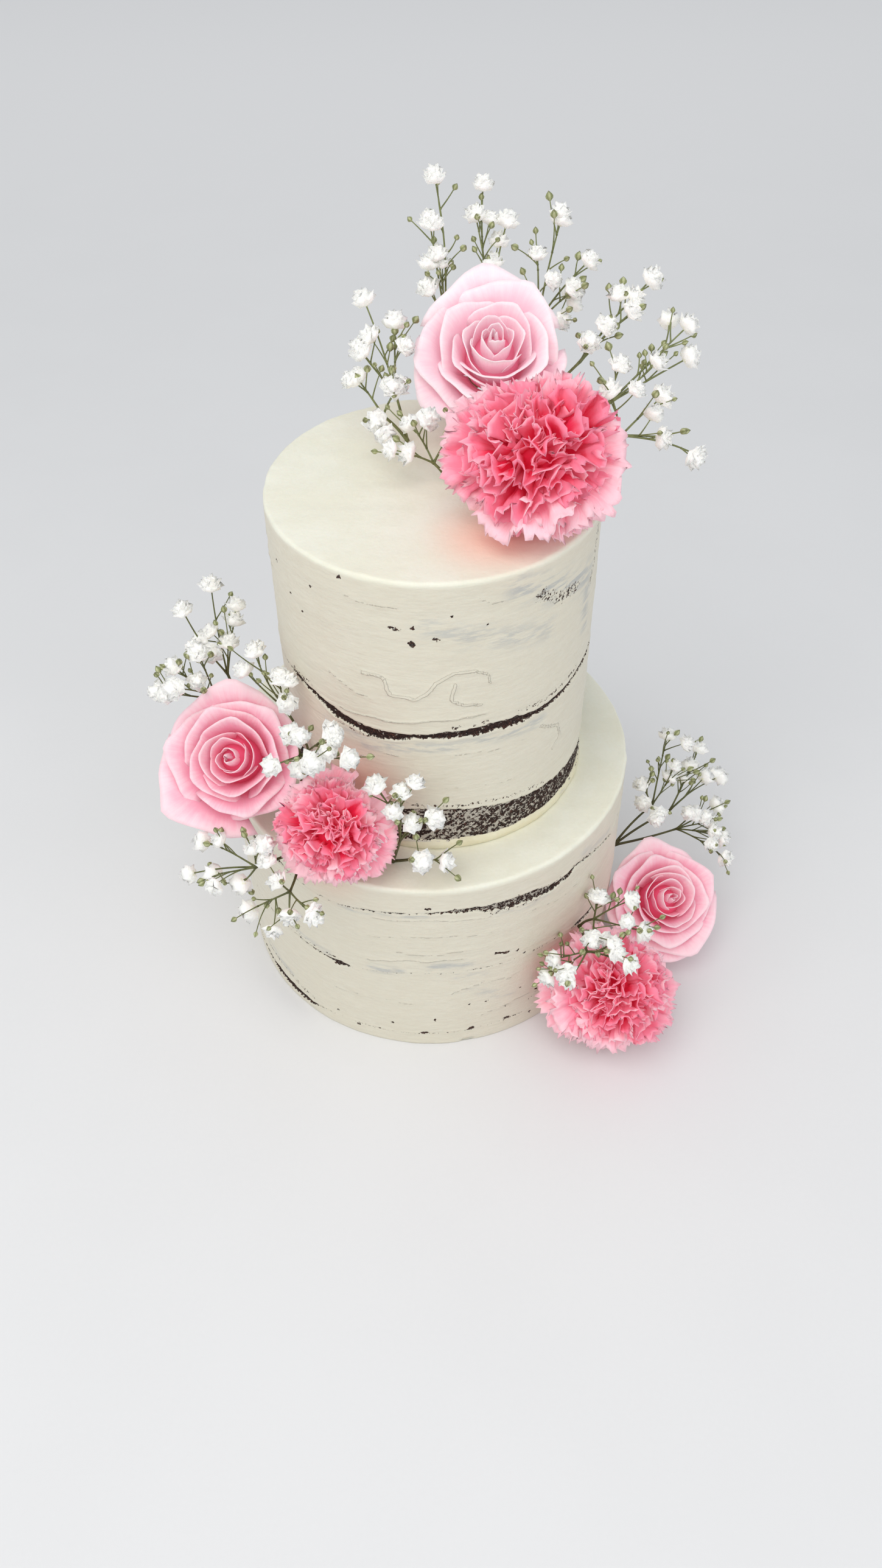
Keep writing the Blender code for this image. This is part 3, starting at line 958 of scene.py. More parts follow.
@dataclass(frozen=True)
class Tier:
    """One tier: a scraped coat of cream over sponge layers that show through its openings.

    Each of its rows is (height, step): how far apart the coat's rings stand up to that height. The
    rings of its top are fine as far in as cap_fine. The ridges, thin places, crumbs and dents are
    marks on its side. A place where the cream takes the painted glow of light bounced from a flower is
    (x, y, z, reach, strength). The crown is rounded by rounding, and the coat sinks by dip where it
    opens.
    """

    name: str
    centre: tuple[float, float]
    radius: float
    foot: float
    height: float
    columns: int
    rows: tuple[tuple[float, float], ...]
    bands: tuple[Band, ...]
    coat_nodes: tuple[str, ...]
    coat_foot: float
    cap_fine: float
    ridges: tuple[Stroke, ...]
    thin: tuple[Stroke, ...]
    crumb: tuple[Stroke, ...]
    dents: tuple[Stroke, ...]
    painted_bounce: tuple[tuple[float, float, float, float, float], ...]
    seed: int
    rounding: float = 1.5
    dip: float = 1.25

    def profile(self) -> Array:
        """Returns the coat's profile rows: radius, height above the tier's foot, normal out and up.

        Returns:
            Rows from the under side out, up the side, round the crown's quarter circle and in to
            the middle of the top, ending at 1.5 mm from the middle.
        """
        rows = [
            (self.radius * 0.5, self.coat_foot, 0.0, -1.0),
            (self.radius - 2.0, self.coat_foot, 0.0, -1.0),
            (self.radius - 0.5, self.coat_foot + 0.05, 0.5, -0.8),
        ]
        crown = self.height - self.rounding
        level = self.coat_foot + 0.4
        for top, step in self.rows:
            end = min(top, crown)
            count = max(1, round((end - level) / step))
            rows += [(self.radius, z, 1.0, 0.0) for z in np.linspace(level, end, count, endpoint=False)]
            level = end
        for share in np.linspace(0.0, 1.0, 7):
            turn = share * math.pi / 2
            rows.append((self.radius - self.rounding * (1 - math.cos(turn)),
                         crown + self.rounding * math.sin(turn), math.cos(turn), math.sin(turn)))
        edge = self.radius - self.rounding
        fine = np.arange(edge - 1.2, self.cap_fine, -1.5)
        coarse = np.linspace(self.cap_fine, 1.5, 9)
        rows += [(r, self.height, 0.0, 1.0) for r in np.concatenate([fine, coarse])]
        return np.array(rows)

    def coat(self) -> Surface:
        """Works out the coat: its profile turned round the tier and moved along its normal.

        Returns:
            The coat. The move adds broad waves, scraper ridges that run level, the drawn ridges,
            bumps on the crown, less the dip inside the openings and the dents.
        """
        profile = self.profile()
        turn = whole_turn(self.columns)
        radius, level, out, up = (profile[:, i, None] for i in range(4))
        base = polar(radius, turn, level + self.foot)
        degrees = np.broadcast_to(np.degrees(turn), base.shape[:2])
        heights = np.broadcast_to(level, base.shape[:2])
        side = np.broadcast_to(smooth(out, 0.2, 0.9), base.shape[:2])
        crown = np.exp(-((np.hypot(radius - self.radius + 1.0, level - self.height + 1.0) / 3.0) ** 2))
        move = 0.34 * ripple(base, 27.0, self.seed, 2) + 0.09 * ripple(base, 7.0, self.seed + 1, 2)
        move += side * 0.10 * ripple(base, (17.0, 17.0, 1.5), self.seed + 2, 2)
        move += side * 0.16 * ripple(base, (40.0, 40.0, 4.5), self.seed + 3)
        bumps = 0.35 * ripple(base, 6.0, self.seed + 4, 2) + 0.25 * ripple(base, 14.0, self.seed + 6)
        move += crown * bumps
        move += (1.0 - side) * 0.16 * ripple(base, (22.0, 5.0, 9.0), self.seed + 7, 2)
        wander = degrees + 2.0 * ripple(base, 9.0, self.seed + 8, 2)
        drift = heights + 1.1 * ripple(base, 8.0, self.seed + 9, 2)
        ridge = strongest(self.ridges, wander, drift, self.radius)
        move += side * 0.55 * ridge * (0.75 + 0.5 * ripple(base, 3.0, self.seed + 10))
        opened = np.full(degrees.shape, FAR_OUTSIDE)
        for index, band in enumerate(self.bands):
            opened = np.maximum(opened, band.inside(base, degrees, heights, self.seed + 31 * index))
        opened = np.where(out > 0.5, opened, FAR_OUTSIDE)
        window = np.clip(0.5 + opened / 2.8, 0.0, 1.0)
        move -= self.dip * smooth(opened, -0.15, 0.5)
        move += 0.22 * np.exp(-((opened + 0.9) / 0.8) ** 2) * (0.6 + ripple(base, 5.0, self.seed + 12))
        crumb = side * strongest(self.crumb, degrees, heights, self.radius)
        move -= 0.25 * crumb * np.clip(0.4 + ripple(base, 1.6, self.seed + 14), 0.0, 1.0)
        move -= side * 1.3 * strongest(self.dents, degrees, heights, self.radius)
        move = np.where(up < -0.2, 0.0, move)
        points = base + move[..., None] * polar(out, turn, up)
        thin = side * strongest(self.thin, wander, drift, self.radius)
        # painted glow: how much of the flowers' bounced light is painted on each point, by its distance to
        # each glow place
        painted_bounce = np.zeros(degrees.shape)
        for x, y, z, reach, strength in self.painted_bounce:
            near = np.linalg.norm(points + np.array([*self.centre, 0.0]) - np.array([x, y, z]), axis=-1)
            painted_bounce = np.maximum(painted_bounce, strength * smooth(-near, -reach, 0.0))
        poles = np.array([[[0.0, 0.0, self.foot + self.coat_foot], [0.0, 0.0, self.foot + self.height]]])
        # where the shade of the sides is painted: all of the side but its top edge, nothing on the top
        sides = smooth(self.height - 0.6 - heights, 0.0, 2.5) * side
        values = {"open": window[None], "crumb": crumb[None], "thin": thin[None], "painted_bounce": painted_bounce[None],
                  "side": sides[None], "ridge": (side * ridge)[None]}
        return revolved(points[None], poles, values).centred(self.centre)

    def sponge(self, band: Band, index: int) -> Surface:
        """Works out a sponge layer: a disc a little inside the coat with a crumbly side.

        Args:
            band: the layer.
            index: its number, for its own crumb pattern.

        Returns:
            The disc. Its side is moved by noise of three sizes and pitted where a noise is high.
            The value smear draws streaks that climb to the right.
        """
        rows = np.array(band.opening)
        foot = max(min(band.foot, rows[:, 1].min() - 1.5), self.coat_foot + 0.6)
        head = max(band.head, rows[:, 2].max() + 1.5)
        levels = np.linspace(foot, head, round((head - foot) / 0.5) + 1)
        grid_turn, grid_level = np.meshgrid(whole_turn(SPONGE_COLUMNS), levels)
        seed = self.seed + 200 + 17 * index
        base = polar(self.radius, grid_turn, grid_level + self.foot)
        crumb = 0.16 * ripple(base, 4.0, seed, 2) + 0.17 * ripple(base, 1.3, seed + 1, 2)
        pits = 0.35 * smooth(ripple(base, 1.9, seed + 2), 0.25, 0.7)
        radius = self.radius - 0.52 + crumb - pits
        side = polar(radius, grid_turn, grid_level + self.foot)
        flat = np.array([1.0, 1.0, 0.0])
        low, high = np.array([0.0, 0.0, foot + self.foot]), np.array([0.0, 0.0, head + self.foot])
        under = np.array([0.5, 0.97])[:, None, None] * side[0] * flat + low
        over = np.array([0.97, 0.5])[:, None, None] * side[-1] * flat + high
        rings = np.concatenate([under, side, over])
        arc = grid_turn * self.radius
        slope = math.radians(38.0)
        drawn = np.stack([arc * math.cos(slope) + grid_level * math.sin(slope),
                          grid_level * math.cos(slope) - arc * math.sin(slope), np.zeros_like(arc)], axis=-1)
        streak = 0.65 * ripple(drawn, (13.0, 1.1, 1.0), seed + 3, 2)
        streak = streak + 0.35 * ripple(drawn, (5.0, 0.7, 1.0), seed + 4)
        front = np.exp(-(((np.degrees(grid_turn) + 88.0) / 34.0) ** 2))
        smear = band.smear * (0.20 + 0.17 * front + 0.34 * (streak - 0.05) * (0.5 + 0.5 * front))
        plain = np.zeros((2, SPONGE_COLUMNS))
        values = np.concatenate([plain, smear, plain])
        poles = np.array([[low, high]])
        return revolved(rings[None], poles, {"smear": values[None]}).centred(self.centre)

    def build(self, cream: bpy.types.Material, sponge: bpy.types.Material) -> None:
        """Makes the coat and the sponge layers.

        Args:
            cream: finish of the coat.
            sponge: finish of the sponge.
        """
        make_piece(f"{self.name}_coat", self.coat(), cream, self.coat_nodes)
        for index, band in enumerate(self.bands):
            make_piece(f"{band.node}_crumb", self.sponge(band, index), sponge, (band.node,))


def scattered(seed: int, count: int, turns: tuple[float, float], heights: tuple[float, float],
              reach: float, length: float, strength: float) -> tuple[Stroke, ...]:
    """Draws short marks at random over a part of a tier's side.

    Args:
        seed: picks the set.
        count: how many.
        turns: lowest and highest angle in degrees.
        heights: lowest and highest height in millimetres.
        reach: half width of a mark.
        length: length of a mark in degrees.
        strength: its strength.

    Returns:
        The marks.
    """
    draw = random.Random(seed)
    marks = []
    for _ in range(count):
        angle, height = draw.uniform(*turns), draw.uniform(*heights)
        rise = draw.uniform(-0.35, 0.35) * length
        path = ((angle, height), (angle + 0.5 * length, height + 0.5 * rise + draw.uniform(-1, 1)),
                (angle + length, height + rise))
        marks.append(Stroke(path, reach * draw.uniform(0.7, 1.3), strength * draw.uniform(0.5, 1.0)))
    return tuple(marks)


UPPER_TIER = Tier(
    name="upper_tier",
    centre=UPPER_CENTRE,
    radius=UPPER_RADIUS,
    foot=LOWER_HEIGHT,
    height=UPPER_HEIGHT,
    columns=436,
    rows=((30.0, 0.6), (60.0, 1.15), (76.0, 0.5), (140.0, 1.1)),
    coat_nodes=("upper_cream_low", "upper_cream_top"),
    coat_foot=0.9,
    cap_fine=8.0,
    bands=(
        Band("upper_sponge_low", 6.5, 25.0, (
            (-179, 7.0, 25.0), (-160, 8.0, 27.0), (-147, 11.0, 28.5), (-135, 8.0, 26.0),
            (-120, 5.5, 23.5), (-107, 4.8, 22.0), (-93, 5.8, 24.8), (-80, 4.4, 23.6), (-63, 3.2, 21.6),
            (-49, 2.8, 19.4), (-34, 4.0, 17.8), (-18, 5.0, 17.5), (0, 6.0, 19.0), (30, 5.0, 22.0),
            (62, 6.5, 20.0), (95, 5.0, 24.0), (120, 7.0, 22.5), (150, 5.5, 25.5)), 1.0),
        Band("upper_sponge_mid", 65.0, 69.0, (
            (-155, 72.5, 72.6), (-147, 72.3, 73.3), (-136, 70.1, 71.6), (-127, 66.4, 69.2),
            (-120, 64.6, 67.6), (-112, 62.8, 65.8), (-104, 62.9, 65.3), (-98, 64.6, 65.8),
            (-90, 65.6, 66.8), (-83, 65.0, 68.0), (-71, 65.6, 68.7), (-60, 65.0, 68.0), (-53, 65.3, 67.2),
            (-46, 65.5, 66.7), (-35, 67.2, 68.4), (-26, 69.6, 70.9), (-14, 70.5, 71.8), (-4, 68.4, 68.4),
            (22, 67.0, 67.0), (34, 66.0, 68.6), (58, 65.6, 68.4), (70, 67.0, 67.0), (105, 66.0, 66.4),
            (118, 65.4, 68.8), (140, 66.2, 68.2), (152, 67.5, 67.6), (180, 70.0, 70.0)), 0.25),
    ),
    ridges=(
        Stroke(((-114, 94), (-106, 93.4), (-103.4, 86.6), (-96.2, 84.7), (-92, 87.2), (-89, 92.7),
                (-83, 97.4), (-77, 97.2)), 1.6, 1.0),
        Stroke(((-82, 92), (-83, 84.7), (-78, 81.3), (-72.6, 80.3)), 1.5, 1.0),
        Stroke(((-77, 97.2), (-71.8, 95), (-70.6, 90.4)), 1.4, 0.9),
        Stroke(((-128, 88.5), (-120, 84.9), (-111, 81.2)), 1.2, 0.7),
        Stroke(((-124, 72), (-103, 72.6), (-84, 74.5), (-71, 75.2)), 0.9, 0.7),
        Stroke(((-110, 54), (-92.6, 55.1), (-79.8, 55.2), (-56.5, 54.2)), 0.9, 0.6),
        Stroke(((-49.7, 56.6), (-39.5, 50.6), (-36.9, 43.2), (-42.2, 38.8)), 1.5, 1.0),
        Stroke(((-139, 39.5), (-126, 42.3), (-115, 50.2)), 1.3, 0.8),
        Stroke(((-118, 129), (-108, 127), (-99, 127)), 1.2, 0.6),
        Stroke(((-75, 131), (-70, 128), (-64, 128)), 1.2, 0.6),
        Stroke(((-95, 36), (-78, 37), (-60, 34)), 1.0, 0.5),
    ) + scattered(5, 26, (-10.0, 190.0), (30.0, 130.0), 1.3, 13.0, 0.9)
    + scattered(6, 12, (-150.0, -20.0), (30.0, 130.0), 1.0, 10.0, 0.45),
    thin=(
        Stroke(((-60, 131), (-44, 123), (-26, 117)), 11.0, 0.85),
        Stroke(((-91, 119), (-70, 112), (-49, 106)), 9.0, 0.60),
        Stroke(((-115, 57), (-92, 60), (-71, 61.5), (-48, 60)), 5.0, 0.75),
        Stroke(((-24, 90), (-25, 112)), 7.0, 0.7), Stroke(((-130, 62), (-118, 60)), 4.0, 0.5),
    ) + scattered(7, 12, (-5.0, 190.0), (35.0, 130.0), 7.0, 16.0, 0.6),
    crumb=(
        Stroke(((-103.3, 118.7), (-102.0, 118.2)), 1.8), Stroke(((-100.4, 117.8),), 1.5),
        Stroke(((-95.9, 119.2),), 1.8), Stroke(((-96.6, 112.4), (-95.8, 111.0)), 2.0),
        Stroke(((-89.2, 114.5), (-88.0, 114.0)), 1.6), Stroke(((-83.6, 124.1),), 1.4),
        Stroke(((-71.6, 118.8),), 1.3), Stroke(((-120.1, 135.6),), 1.7), Stroke(((-132.7, 125.2),), 1.7),
        Stroke(((-154, 123),), 1.7), Stroke(((-150.7, 121.2),), 1.7), Stroke(((-145, 114),), 1.4),
        Stroke(((-138.5, 110),), 1.4), Stroke(((-52, 124), (-44, 118), (-34, 117)), 7.0, 0.52),
        Stroke(((-22, 110), (-19, 120), (-18, 134)), 4.5, 0.44),
        Stroke(((-59, 71), (-46, 70), (-30, 73)), 3.2, 0.44), Stroke(((-125, 63), (-112, 61)), 2.4, 0.44),
        Stroke(((-84, 70), (-70, 71)), 2.4, 0.44), Stroke(((-150, 75), (-138, 74)), 3.0, 0.44),
        Stroke(((-100, 27), (-70, 26), (-45, 22)), 2.6, 0.44),
    ) + scattered(8, 16, (-5.0, 190.0), (35.0, 134.0), 1.9, 2.0, 1.0),
    dents=(),
    # places where the cream takes a painted glow of light bounced from the flowers
    painted_bounce=((24.0, -40.0, 254.0, 28.0, 0.62), (-30.0, -66.0, 150.0, 26.0, 0.5)),
    seed=11,
)

LOWER_TIER = Tier(
    name="lower_tier",
    centre=(0.0, 0.0),
    radius=LOWER_RADIUS,
    foot=0.0,
    height=LOWER_HEIGHT,
    columns=576,
    rows=((2.0, 0.7), (17.0, 0.65), (50.0, 1.3), (67.0, 0.65), (90.0, 1.3), (106.0, 0.6), (113.0, 1.3)),
    coat_nodes=("lower_cream_foot", "lower_cream_low", "lower_cream_mid", "lower_cream_top"),
    coat_foot=0.0,
    cap_fine=52.0,
    bands=(
        Band("lower_sponge_low", 6.0, 16.0, (
            (-165, 10.0, 10.0), (-157, 8.0, 9.2), (-151, 6.4, 9.0), (-143, 5.0, 8.4), (-138, 4.4, 7.8),
            (-132, 4.0, 6.8), (-128, 5.0, 6.0), (-123, 8.0, 8.0), (-60, 10.0, 10.0), (15, 10.0, 10.0),
            (28, 7.0, 12.5), (44, 6.5, 13.0), (55, 10.0, 10.0), (118, 9.0, 9.0), (130, 6.0, 12.0),
            (146, 9.0, 9.4)), 0.4),
        Band("lower_sponge_mid", 54.0, 60.0, (
            (-150, 57.0, 57.0), (-140, 56.7, 56.9), (-130, 55.6, 55.9), (-124, 53.9, 54.2),
            (-119, 52.4, 53.1), (-116, 51.3, 53.4), (-112, 53.0, 53.0), (-95, 57.0, 57.0),
            (-50, 56.0, 56.0), (-43, 53.4, 53.5), (-40, 52.6, 53.9), (-35, 51.8, 53.0), (-31, 53.0, 53.0),
            (20, 57.0, 57.0), (32, 55.6, 58.4), (58, 56.0, 58.0), (66, 57.0, 57.0), (110, 57.0, 57.0),
            (124, 55.4, 58.6), (150, 56.6, 57.6), (165, 57.0, 57.0)), 0.3),
        Band("lower_sponge_high", 95.5, 101.0, (
            (-160, 101.0, 101.0), (-148, 100.4, 101.6), (-141, 101.8, 103.4), (-136, 103.6, 105.0),
            (-130, 100.0, 100.0), (-116, 96.3, 96.3), (-106, 98.0, 98.2), (-98, 99.4, 99.6),
            (-91, 99.8, 100.0), (-84, 100.3, 101.0), (-77, 99.9, 101.5), (-73, 97.2, 100.6),
            (-69, 96.2, 100.4), (-65, 96.3, 100.8), (-59, 95.8, 100.0), (-55, 94.8, 98.2),
            (-48.5, 96.4, 98.4), (-44, 99.7, 100.1), (-36, 96.9, 97.2), (-30, 95.0, 95.3),
            (-25, 92.0, 92.3), (-18, 96.0, 96.0), (22, 98.0, 98.0), (36, 96.6, 100.0), (60, 97.0, 99.4),
            (72, 98.0, 98.0), (120, 98.0, 98.0), (132, 96.4, 100.2), (158, 98.0, 99.0),
            (175, 99.0, 99.0)), 0.85),
    ),
    ridges=(
        Stroke(((-110, 80), (-92, 84), (-70, 82)), 1.1, 0.6),
        Stroke(((-98, 72), (-88, 70), (-78, 73)), 1.3, 0.7),
        Stroke(((-84, 41), (-74, 46), (-66, 43)), 1.3, 0.8),
        Stroke(((-120, 30), (-104, 34), (-92, 32)), 1.2, 0.6),
        Stroke(((-60, 88), (-50, 84), (-42, 87)), 1.2, 0.6),
        Stroke(((-108, 62), (-95, 66), (-80, 66.5)), 0.9, 0.7),
        Stroke(((-104, 94), (-88, 95), (-72, 93)), 0.9, 0.6),
        Stroke(((-74, 20), (-60, 24), (-50, 21)), 1.2, 0.7),
    ) + scattered(15, 34, (-10.0, 200.0), (6.0, 108.0), 1.3, 11.0, 0.9)
    + scattered(16, 12, (-160.0, -20.0), (6.0, 108.0), 0.9, 6.0, 0.34),
    thin=(
        Stroke(((-114, 94), (-104, 97), (-90, 98)), 3.5, 0.6), Stroke(((-106, 57), (-98, 58)), 4.5, 0.75),
        Stroke(((-88, 62), (-78, 62)), 4.5, 0.75), Stroke(((-82, 53), (-73, 51)), 4.0, 0.5),
        Stroke(((-78, 42), (-72, 36), (-66, 30)), 4.0, 0.45), Stroke(((-134, 60), (-120, 57)), 3.5, 0.55),
        Stroke(((-152, 20), (-138, 17)), 4.5, 0.55), Stroke(((-70, 94), (-50, 92)), 3.5, 0.45),
        Stroke(((-42, 104), (-28, 98)), 4.5, 0.4),
    ) + scattered(17, 16, (-10.0, 200.0), (6.0, 108.0), 6.0, 12.0, 0.65),
    crumb=(
        Stroke(((-89.9, 103.1), (-88.8, 103.0)), 1.3), Stroke(((-83.5, 101.8), (-76, 101.4)), 2.2, 0.44),
        Stroke(((-46, 101), (-36, 98.6), (-26, 93)), 2.4, 0.44),
        Stroke(((-74, 101), (-60, 101), (-50, 99)), 2.4, 0.44), Stroke(((-72, 95), (-56, 94)), 2.4, 0.44),
        Stroke(((-146, 104), (-137, 107)), 3.2, 0.44), Stroke(((-70.5, 65.5), (-67, 63.8)), 1.8),
        Stroke(((-63.9, 62.7),), 1.8), Stroke(((-61.4, 58.0),), 1.6), Stroke(((-118.6, 12.3),), 1.9),
        Stroke(((-111.6, 7.4),), 2.1), Stroke(((-100.8, 15.6),), 1.8),
        Stroke(((-91.8, 9.3), (-90.8, 9.6)), 2.1), Stroke(((-88.1, 20.6),), 1.8),
        Stroke(((-78.1, 10.1), (-77, 10.6)), 2.1), Stroke(((-66.7, 11.1), (-65.7, 10.6)), 2.1),
        Stroke(((-58.1, 6.9),), 2.0), Stroke(((-78.2, 30.4),), 1.5), Stroke(((-72.8, 29.7),), 1.5),
        Stroke(((-66.9, 21.5),), 1.6), Stroke(((-62.1, 31.7),), 1.5), Stroke(((-56.5, 23.7),), 1.6),
        Stroke(((-58.5, 18.7),), 1.6), Stroke(((-140, 60), (-124, 57), (-116, 55)), 2.2, 0.44),
        Stroke(((-150, 17), (-138, 15), (-128, 11)), 3.4, 0.44), Stroke(((-117, 51.6),), 2.0),
        Stroke(((-44, 54), (-36, 52.8)), 1.8, 0.44),
    ) + scattered(18, 26, (-10.0, 200.0), (4.0, 108.0), 1.9, 2.0, 1.0),
    dents=(Stroke(((-79.6, 0.6), (-77.4, 0.6)), 2.4, 1.0),),
    # places where the cream takes a painted glow of light bounced from the flowers
    painted_bounce=((-40.0, -74.0, 114.8, 26.0, 0.35), (78.0, -62.0, 40.0, 26.0, 0.10)),
    seed=71,
)


@dataclass(frozen=True)
class Collar:
    """The smooth cream collar that holds the foot of the upper tier to the ledge."""

    node: str = "upper_cream_foot"
    radius: float = UPPER_RADIUS
    foot: float = LOWER_HEIGHT
    low: float = 0.05
    high: float = 5.6
    bulge: float = 1.5
    columns: int = 480
    seed: int = 301

    def build(self, cream: bpy.types.Material) -> None:
        """Makes the collar: a bead whose section is part of an ellipse, uneven along its length.

        Args:
            cream: its finish.
        """
        turn = whole_turn(self.columns)
        share = np.linspace(0.0, 1.0, 15)[:, None]
        round_at = polar(self.radius, turn, 0.0)
        wide = 1.0 + 0.45 * ripple(round_at, 11.0, self.seed, 2)
        tall = 1.0 + 0.22 * ripple(round_at, 9.0, self.seed + 1, 2)
        swell = np.sin(np.pi * (0.12 + 0.88 * share)) ** 0.7 * self.bulge * wide
        stretch = np.where(share > 0.5, 1.0 + (tall - 1.0) * (2 * share - 1), 1.0)
        level = self.low + (self.high - self.low) * share * stretch
        radius = self.radius - 0.9 + swell
        side = polar(radius, turn, level + self.foot)
        side = side + 0.10 * ripple(side, 3.0, self.seed + 2, 2)[..., None] * polar(1.0, turn, 0.0)
        under = side[:1] * np.array([0.9, 0.9, 1.0])
        over = side[-1:] * np.array([0.9, 0.9, 1.0])
        rings = np.concatenate([under, side, over])
        poles = np.array([[[0.0, 0.0, self.foot + self.low], [0.0, 0.0, self.foot + self.high]]])
        zero = np.zeros((1,) + rings.shape[:2])
        values = dict.fromkeys(("open", "crumb", "thin", "painted_bounce", "side", "ridge"), zero)
        surface = revolved(rings[None], poles, values).centred(UPPER_CENTRE)
        make_piece("upper_tier_collar", surface, cream, (self.node,))


@dataclass(frozen=True)
class Head:
    """Where a cut flower sits: its head's middle, width, axis and the foot of its stalk."""

    node: str
    centre: Point
    width: float
    axis: Point
    foot: Point
    slot: ClassVar[Slot]
    cup: ClassVar[tuple[float, float, float, int, float]]
    neck: ClassVar[float]

    def blossom(self) -> Surface:
        """Returns the petals, for a head of radius 1."""
        raise NotImplementedError

    def heart(self) -> Surface:
        """Returns the core under the petals, for a head of radius 1."""
        raise NotImplementedError

    def placed(self, surface: Surface) -> Surface:
        """Returns a surface of a head of radius 1 brought to size and in place."""
        return surface.turned(facing(self.axis), 0.5 * self.width, np.array(self.centre))

    def stalk(self) -> Surface:
        """Works out the stalk: a rod on a smooth curve from its foot to the underside of the head.

        Returns:
            The stalk, tapered upwards. It ends at the neck, a height on the head's own axis for a
            head of radius 1.
        """
        axis = np.array(Vector(self.axis).normalized())
        centre = np.array(self.centre)
        start = np.array(self.foot)
        end = centre + axis * self.neck * 0.5 * self.width
        inner = centre + axis * 0.45 * self.neck * 0.5 * self.width
        share = np.linspace(0.0, 1.0, 12)[:, None]
        pull = end - axis * 0.35 * np.linalg.norm(end - start)
        curve = (1 - share) ** 2 * start + 2 * share * (1 - share) * pull + share ** 2 * end
        path = np.concatenate([curve, inner[None]])
        radii = np.linspace(1.7, 1.35, len(path))
        stripe = np.full((1, len(path)), 0.15)
        age = np.linspace(0.35, 0.0, len(path))[None]
        return rods(path[None], radii[None], 8, {"stripe": stripe, "age": age})

    def calyx(self, foot: float, wide: float, tall: float, sepals: int, spread: float) -> Surface:
        """Works out the green cup under the head and its pointed sepals.

        Args:
            foot: height of its foot on the head's axis, for a head of radius 1.
            wide: its radius.
            tall: its height.
            sepals: how many sepals.
            spread: how far a sepal leans out.

        Returns:
            The cup, round in section, with sepals that narrow to a point.
        """
        share = np.linspace(0.0, 1.0, 9)
        path = np.stack([np.zeros(9), np.zeros(9), foot + tall * share], axis=-1)
        radii = wide * np.sin(np.pi * (0.16 + 0.62 * share)) ** 0.8
        cup = rods(path[None], radii[None], 14, {"stripe": 0.35 * share[None], "age": np.zeros((1, 9))})
        v = np.linspace(0.0, 1.0, 8)[None, :, None]
        u = np.linspace(-1.0, 1.0, 5)[None, None, :]
        turn = (np.arange(sepals) * 2 * math.pi / sepals)[:, None, None]
        blade = wide * 0.62 * (1 - v ** 1.6) + 0.01
        reach = wide * 0.95 + spread * v ** 1.4
        rise = foot + tall * (0.75 + 1.25 * v - 0.9 * v ** 2 * spread / max(wide, 0.01))
        angle = turn + u * blade / reach
        grid = polar(reach, angle, rise)
        leaves = sheets(grid, 0.03, {"stripe": 0.25 + 0.2 * v + 0 * angle, "age": 0.25 * v ** 3 + 0 * angle})
        return self.placed(joined([cup, leaves]))

    def build(self, petal: bpy.types.Material, green: bpy.types.Material) -> None:
        """Makes the flower's two pieces.

        Args:
            petal: finish of the petals.
            green: finish of the calyx and the stalk.
        """
        bloom = self.placed(joined([self.blossom(), self.heart()]))
        make_piece(f"{self.node}_petals", bloom, petal, (self.node,))
        stem = joined([self.calyx(*self.cup), self.stalk()])
        make_piece(f"{self.node}_stem", stem, green, (self.node,))


